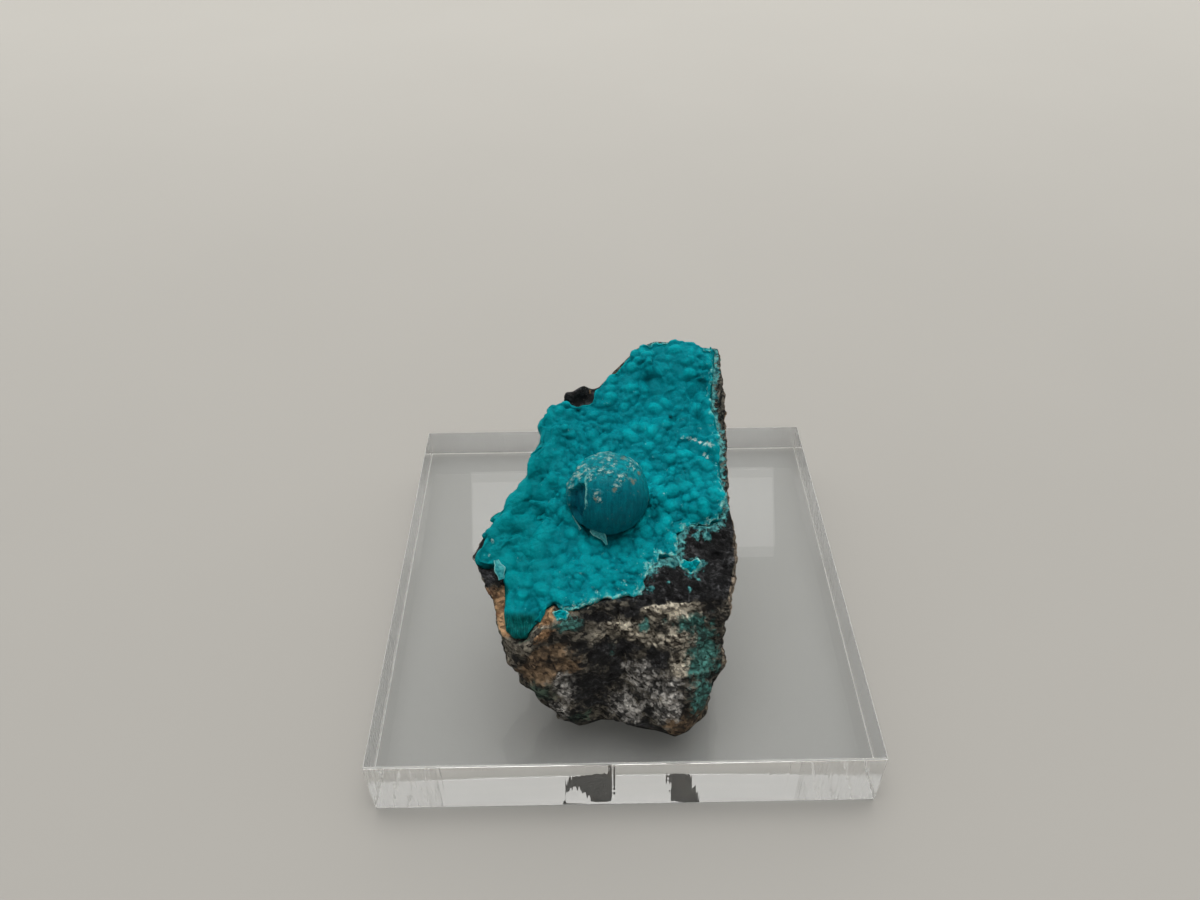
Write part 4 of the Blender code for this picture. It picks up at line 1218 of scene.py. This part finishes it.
def make_rock(material):
    """Matrix rock in one skin: rows run from the middle of its top out to the edge, down
    the broken sides and in along the foot's underside. Crumbs, grains, crags and the rind's
    strata push its sides along their own normals."""
    edge = resample(ROCK_OUTLINE, ROCK_COLUMNS, front_density)
    hidden = np.linspace(0.05, ROCK_BARE_FROM, ROCK_HIDDEN_TOP_ROWS + 1)[:-1]
    seen = np.linspace(ROCK_BARE_FROM, 1.0, ROCK_BARE_TOP_ROWS)
    share = np.concatenate([hidden, seen])[:, None, None]
    flat = BALL_CENTRE + (edge - BALL_CENTRE) * share
    top_height, top_relief, outside = rock_top_height(flat)
    top = face_to_world(flat, top_height)

    foot = foot_outline_points(top[-1])
    sides = rock_sides(top[-1], np.column_stack([foot, foot_height(foot)]))
    foot_middle = foot.mean(axis=0)
    under_flat = foot_middle + (foot - foot_middle) * (1.0 - 0.95 * steps(ROCK_UNDER_ROWS)[..., None])
    under = np.concatenate([under_flat, foot_height(under_flat)[..., None]], axis=-1)
    points = np.concatenate([top, sides, under])
    normals = grid_normals(points)
    down = (np.arange(len(points)) - len(top)) / (ROCK_SIDE_ROWS - 1)
    side_share = (smooth_step(1.0, 0.93, down) * (down >= 0.0))[:, None]

    masks = rock_masks(points, normals, side_share, flat, outside)
    crumbs = layered_noise(points, 1.1 * MM, 4, 101)
    grains = grain_height(points, 0.55 * MM, 102) - 0.5
    crags = 0.35 - np.abs(layered_noise(points, 2.4 * MM, 3, 104))
    strata = value_noise(points * np.array([2.2, 0.2, 0.12]), 0.5 * MM, 107)
    crumbly = np.clip(masks["cream"] + masks["grey"], 0.0, 1.0)
    push = ROCK_CRUMB_DEPTH * crumbs + ROCK_GRAIN_DEPTH * grains * (0.6 + crumbly)
    push += ROCK_CRAG_DEPTH * crags + RIND_STRATA_DEPTH * masks["rind"] * strata
    points = points + normals * (push * side_share)[..., None]
    # Relief mask for painted shade in the rock's hollows and painted light on its crests
    relief = (0.5 + 0.7 * crumbs + 0.7 * grains) * side_share
    relief[:len(top)] = 0.45 + top_relief / (0.8 * MM)
    masks["relief"] = np.clip(relief, 0.0, 1.0)
    add_piece("matrix_rock_skin", *capped(points), material, "matrix", "matrix_rock", masks)


def make_slab(material):
    """Slab as a section carried round a square path with rounded corners. The section runs
    over the top bevel, down the side and round the lower bevel; saw marks, which are noise
    along the path alone, push the side in and out. Its masks are how sawn it is and how
    much of it is side."""
    core = SLAB_HALF - SLAB_BEVEL
    run = np.arange(-core, core, SLAB_SIDE_STEP)
    arc = np.linspace(0.0, math.pi / 2, 6)[:-1]
    path = []
    facing = []
    for quarter in range(4):
        angle = quarter * math.pi / 2
        ahead = np.array([-math.sin(angle), math.cos(angle)])
        out = np.array([math.cos(angle), math.sin(angle)])
        path += [core * out + run[:, None] * ahead, np.tile(core * (out + ahead), (len(arc), 1))]
        facing += [np.tile(out, (len(run), 1)), np.stack([np.cos(angle + arc), np.sin(angle + arc)], axis=1)]
    path = np.concatenate(path)
    facing = np.concatenate(facing)

    bevel = np.linspace(math.radians(88), 0.0, SLAB_BEVEL_ROWS)
    reach = np.concatenate([np.cos(bevel), [1.0, 1.0, 1.0], np.cos(bevel[::-1])])
    top_heights = SLAB_TOP - SLAB_BEVEL + SLAB_BEVEL * np.sin(bevel)
    side_top = SLAB_TOP - SLAB_BEVEL - SLAB_EDGE_HOLD
    side_heights = [side_top, SLAB_TOP / 2, SLAB_TOP - side_top]
    heights = np.concatenate([top_heights, side_heights, SLAB_TOP - top_heights[::-1]])
    marks = SAW_MARK_DEPTH * value_noise(on_face(path), SAW_MARK_WIDTH, 111)
    marks = marks + SAW_SCRATCH_DEPTH * value_noise(on_face(path), 0.2 * SAW_MARK_WIDTH, 112)
    side = smooth_step(0.6, 1.0, reach)[:, None]
    flat = path + facing * (reach[:, None] * SLAB_BEVEL + marks * side)[..., None]
    points = on_face(flat)
    points[..., 2] = heights[:, None]
    rows, columns = points.shape[:2]
    faces = grid_faces(rows, columns)
    faces.append(list(range(columns)))
    faces.append(list(range((rows - 1) * columns, rows * columns))[::-1])
    frosting = np.where(reach == 1.0, SIDE_FROSTING, np.where(reach > 0.3, 1.0, 0.0))
    across = np.ones(columns)
    masks = {"sawn": frosting[:, None] * across, "side": side * across}
    slab = add_piece("acrylic_slab", points.reshape(-1, 3), faces, material, "acrylic", "acrylic_base", masks)
    for cap in slab.data.polygons[-2:]:
        cap.use_smooth = False


def make_floor(material):
    """Wide flat floor just below the slab."""
    mesh = bpy.data.meshes.new("floor")
    corners = [(-1, -1), (1, -1), (1, 1), (-1, 1)]
    corners = [(x * FLOOR_REACH, y * FLOOR_REACH, FLOOR_TOP) for x, y in corners]
    mesh.from_pydata(corners, [], [(0, 1, 2, 3)])
    mesh.materials.append(material)
    add_object("floor", mesh)


def light_studio():
    """White surround that is brighter and warmer behind, with a soft round key overhead in it
    and a small strip light behind, turned to face the slab."""
    world = bpy.data.worlds.new("studio")
    world.use_nodes = True
    nodes = Shading(world.node_tree)
    direction = nodes.add("ShaderNodeTexCoord")["Generated"]
    behind = nodes.add("ShaderNodeSeparateXYZ", {0: direction})["Y"]
    surround = nodes.ranged(behind, -0.7, 0.7, SURROUND_FRONT, SURROUND_BACK)
    warm = nodes.mixed(nodes.ranged(behind, 0.3, 0.8), (1.0, 1.0, 0.985, 1.0), (1.0, 0.957, 0.885, 1.0))
    towards = {0: direction, 1: KEY_DIRECTION}
    facing = nodes.add("ShaderNodeVectorMath", towards, operation="DOT_PRODUCT")["Value"]
    key = nodes.ranged(facing, math.cos(KEY_OUTER_ANGLE), math.cos(KEY_INNER_ANGLE), 0.0, KEY_STRENGTH)
    background = world.node_tree.nodes["Background"].inputs
    nodes.feed(background, {"Color": warm, "Strength": nodes.plus(surround, key)})
    bpy.context.scene.world = world

    light = bpy.data.lights.new("back_strip", "AREA")
    light.shape = "RECTANGLE"
    light.size, light.size_y = STRIP_SIZE
    light.energy = STRIP_WATTS
    light.color = (1.0, 0.99, 0.97)
    lamp = add_object("back_strip", light)
    lamp.location = STRIP_PLACE
    ahead = Vector(STRIP_TARGET) - Vector(STRIP_PLACE)
    lamp.rotation_euler = ahead.to_track_quat("-Z", "Y").to_euler()
    lamp.visible_camera = False


def place_camera():
    """Camera above and in front, looking down at the slab, and how its picture is made."""
    camera = bpy.data.cameras.new("camera")
    camera.sensor_width = 36.0
    camera.lens = CAMERA_LENS
    camera.clip_start = 5 * MM
    camera.clip_end = 10.0
    view = add_object("camera", camera)
    yaw = Matrix.Rotation(CAMERA_YAW, 4, "Z")
    pitch = Matrix.Rotation(CAMERA_PITCH, 4, "X")
    roll = Matrix.Rotation(CAMERA_ROLL, 4, "Z")
    view.matrix_world = Matrix.Translation(CAMERA_PLACE) @ yaw @ pitch @ roll
    scene = bpy.context.scene
    scene.camera = view
    scene.view_settings.view_transform = "Standard"
    scene.cycles.max_bounces = 16
    scene.cycles.glossy_bounces = 12
    scene.cycles.transmission_bounces = 12


skin = crust_material()
film = film_material()
make_slab(acrylic_material())
make_rock(rock_material())
make_crust(skin)
make_ball(ball_material())
for name, chip in CHIPS.items():
    make_chip(name, *chip, film)
for name, remnant in REMNANTS.items():
    make_remnant(name, *remnant, skin)
make_floor(floor_material())
light_studio()
place_camera()
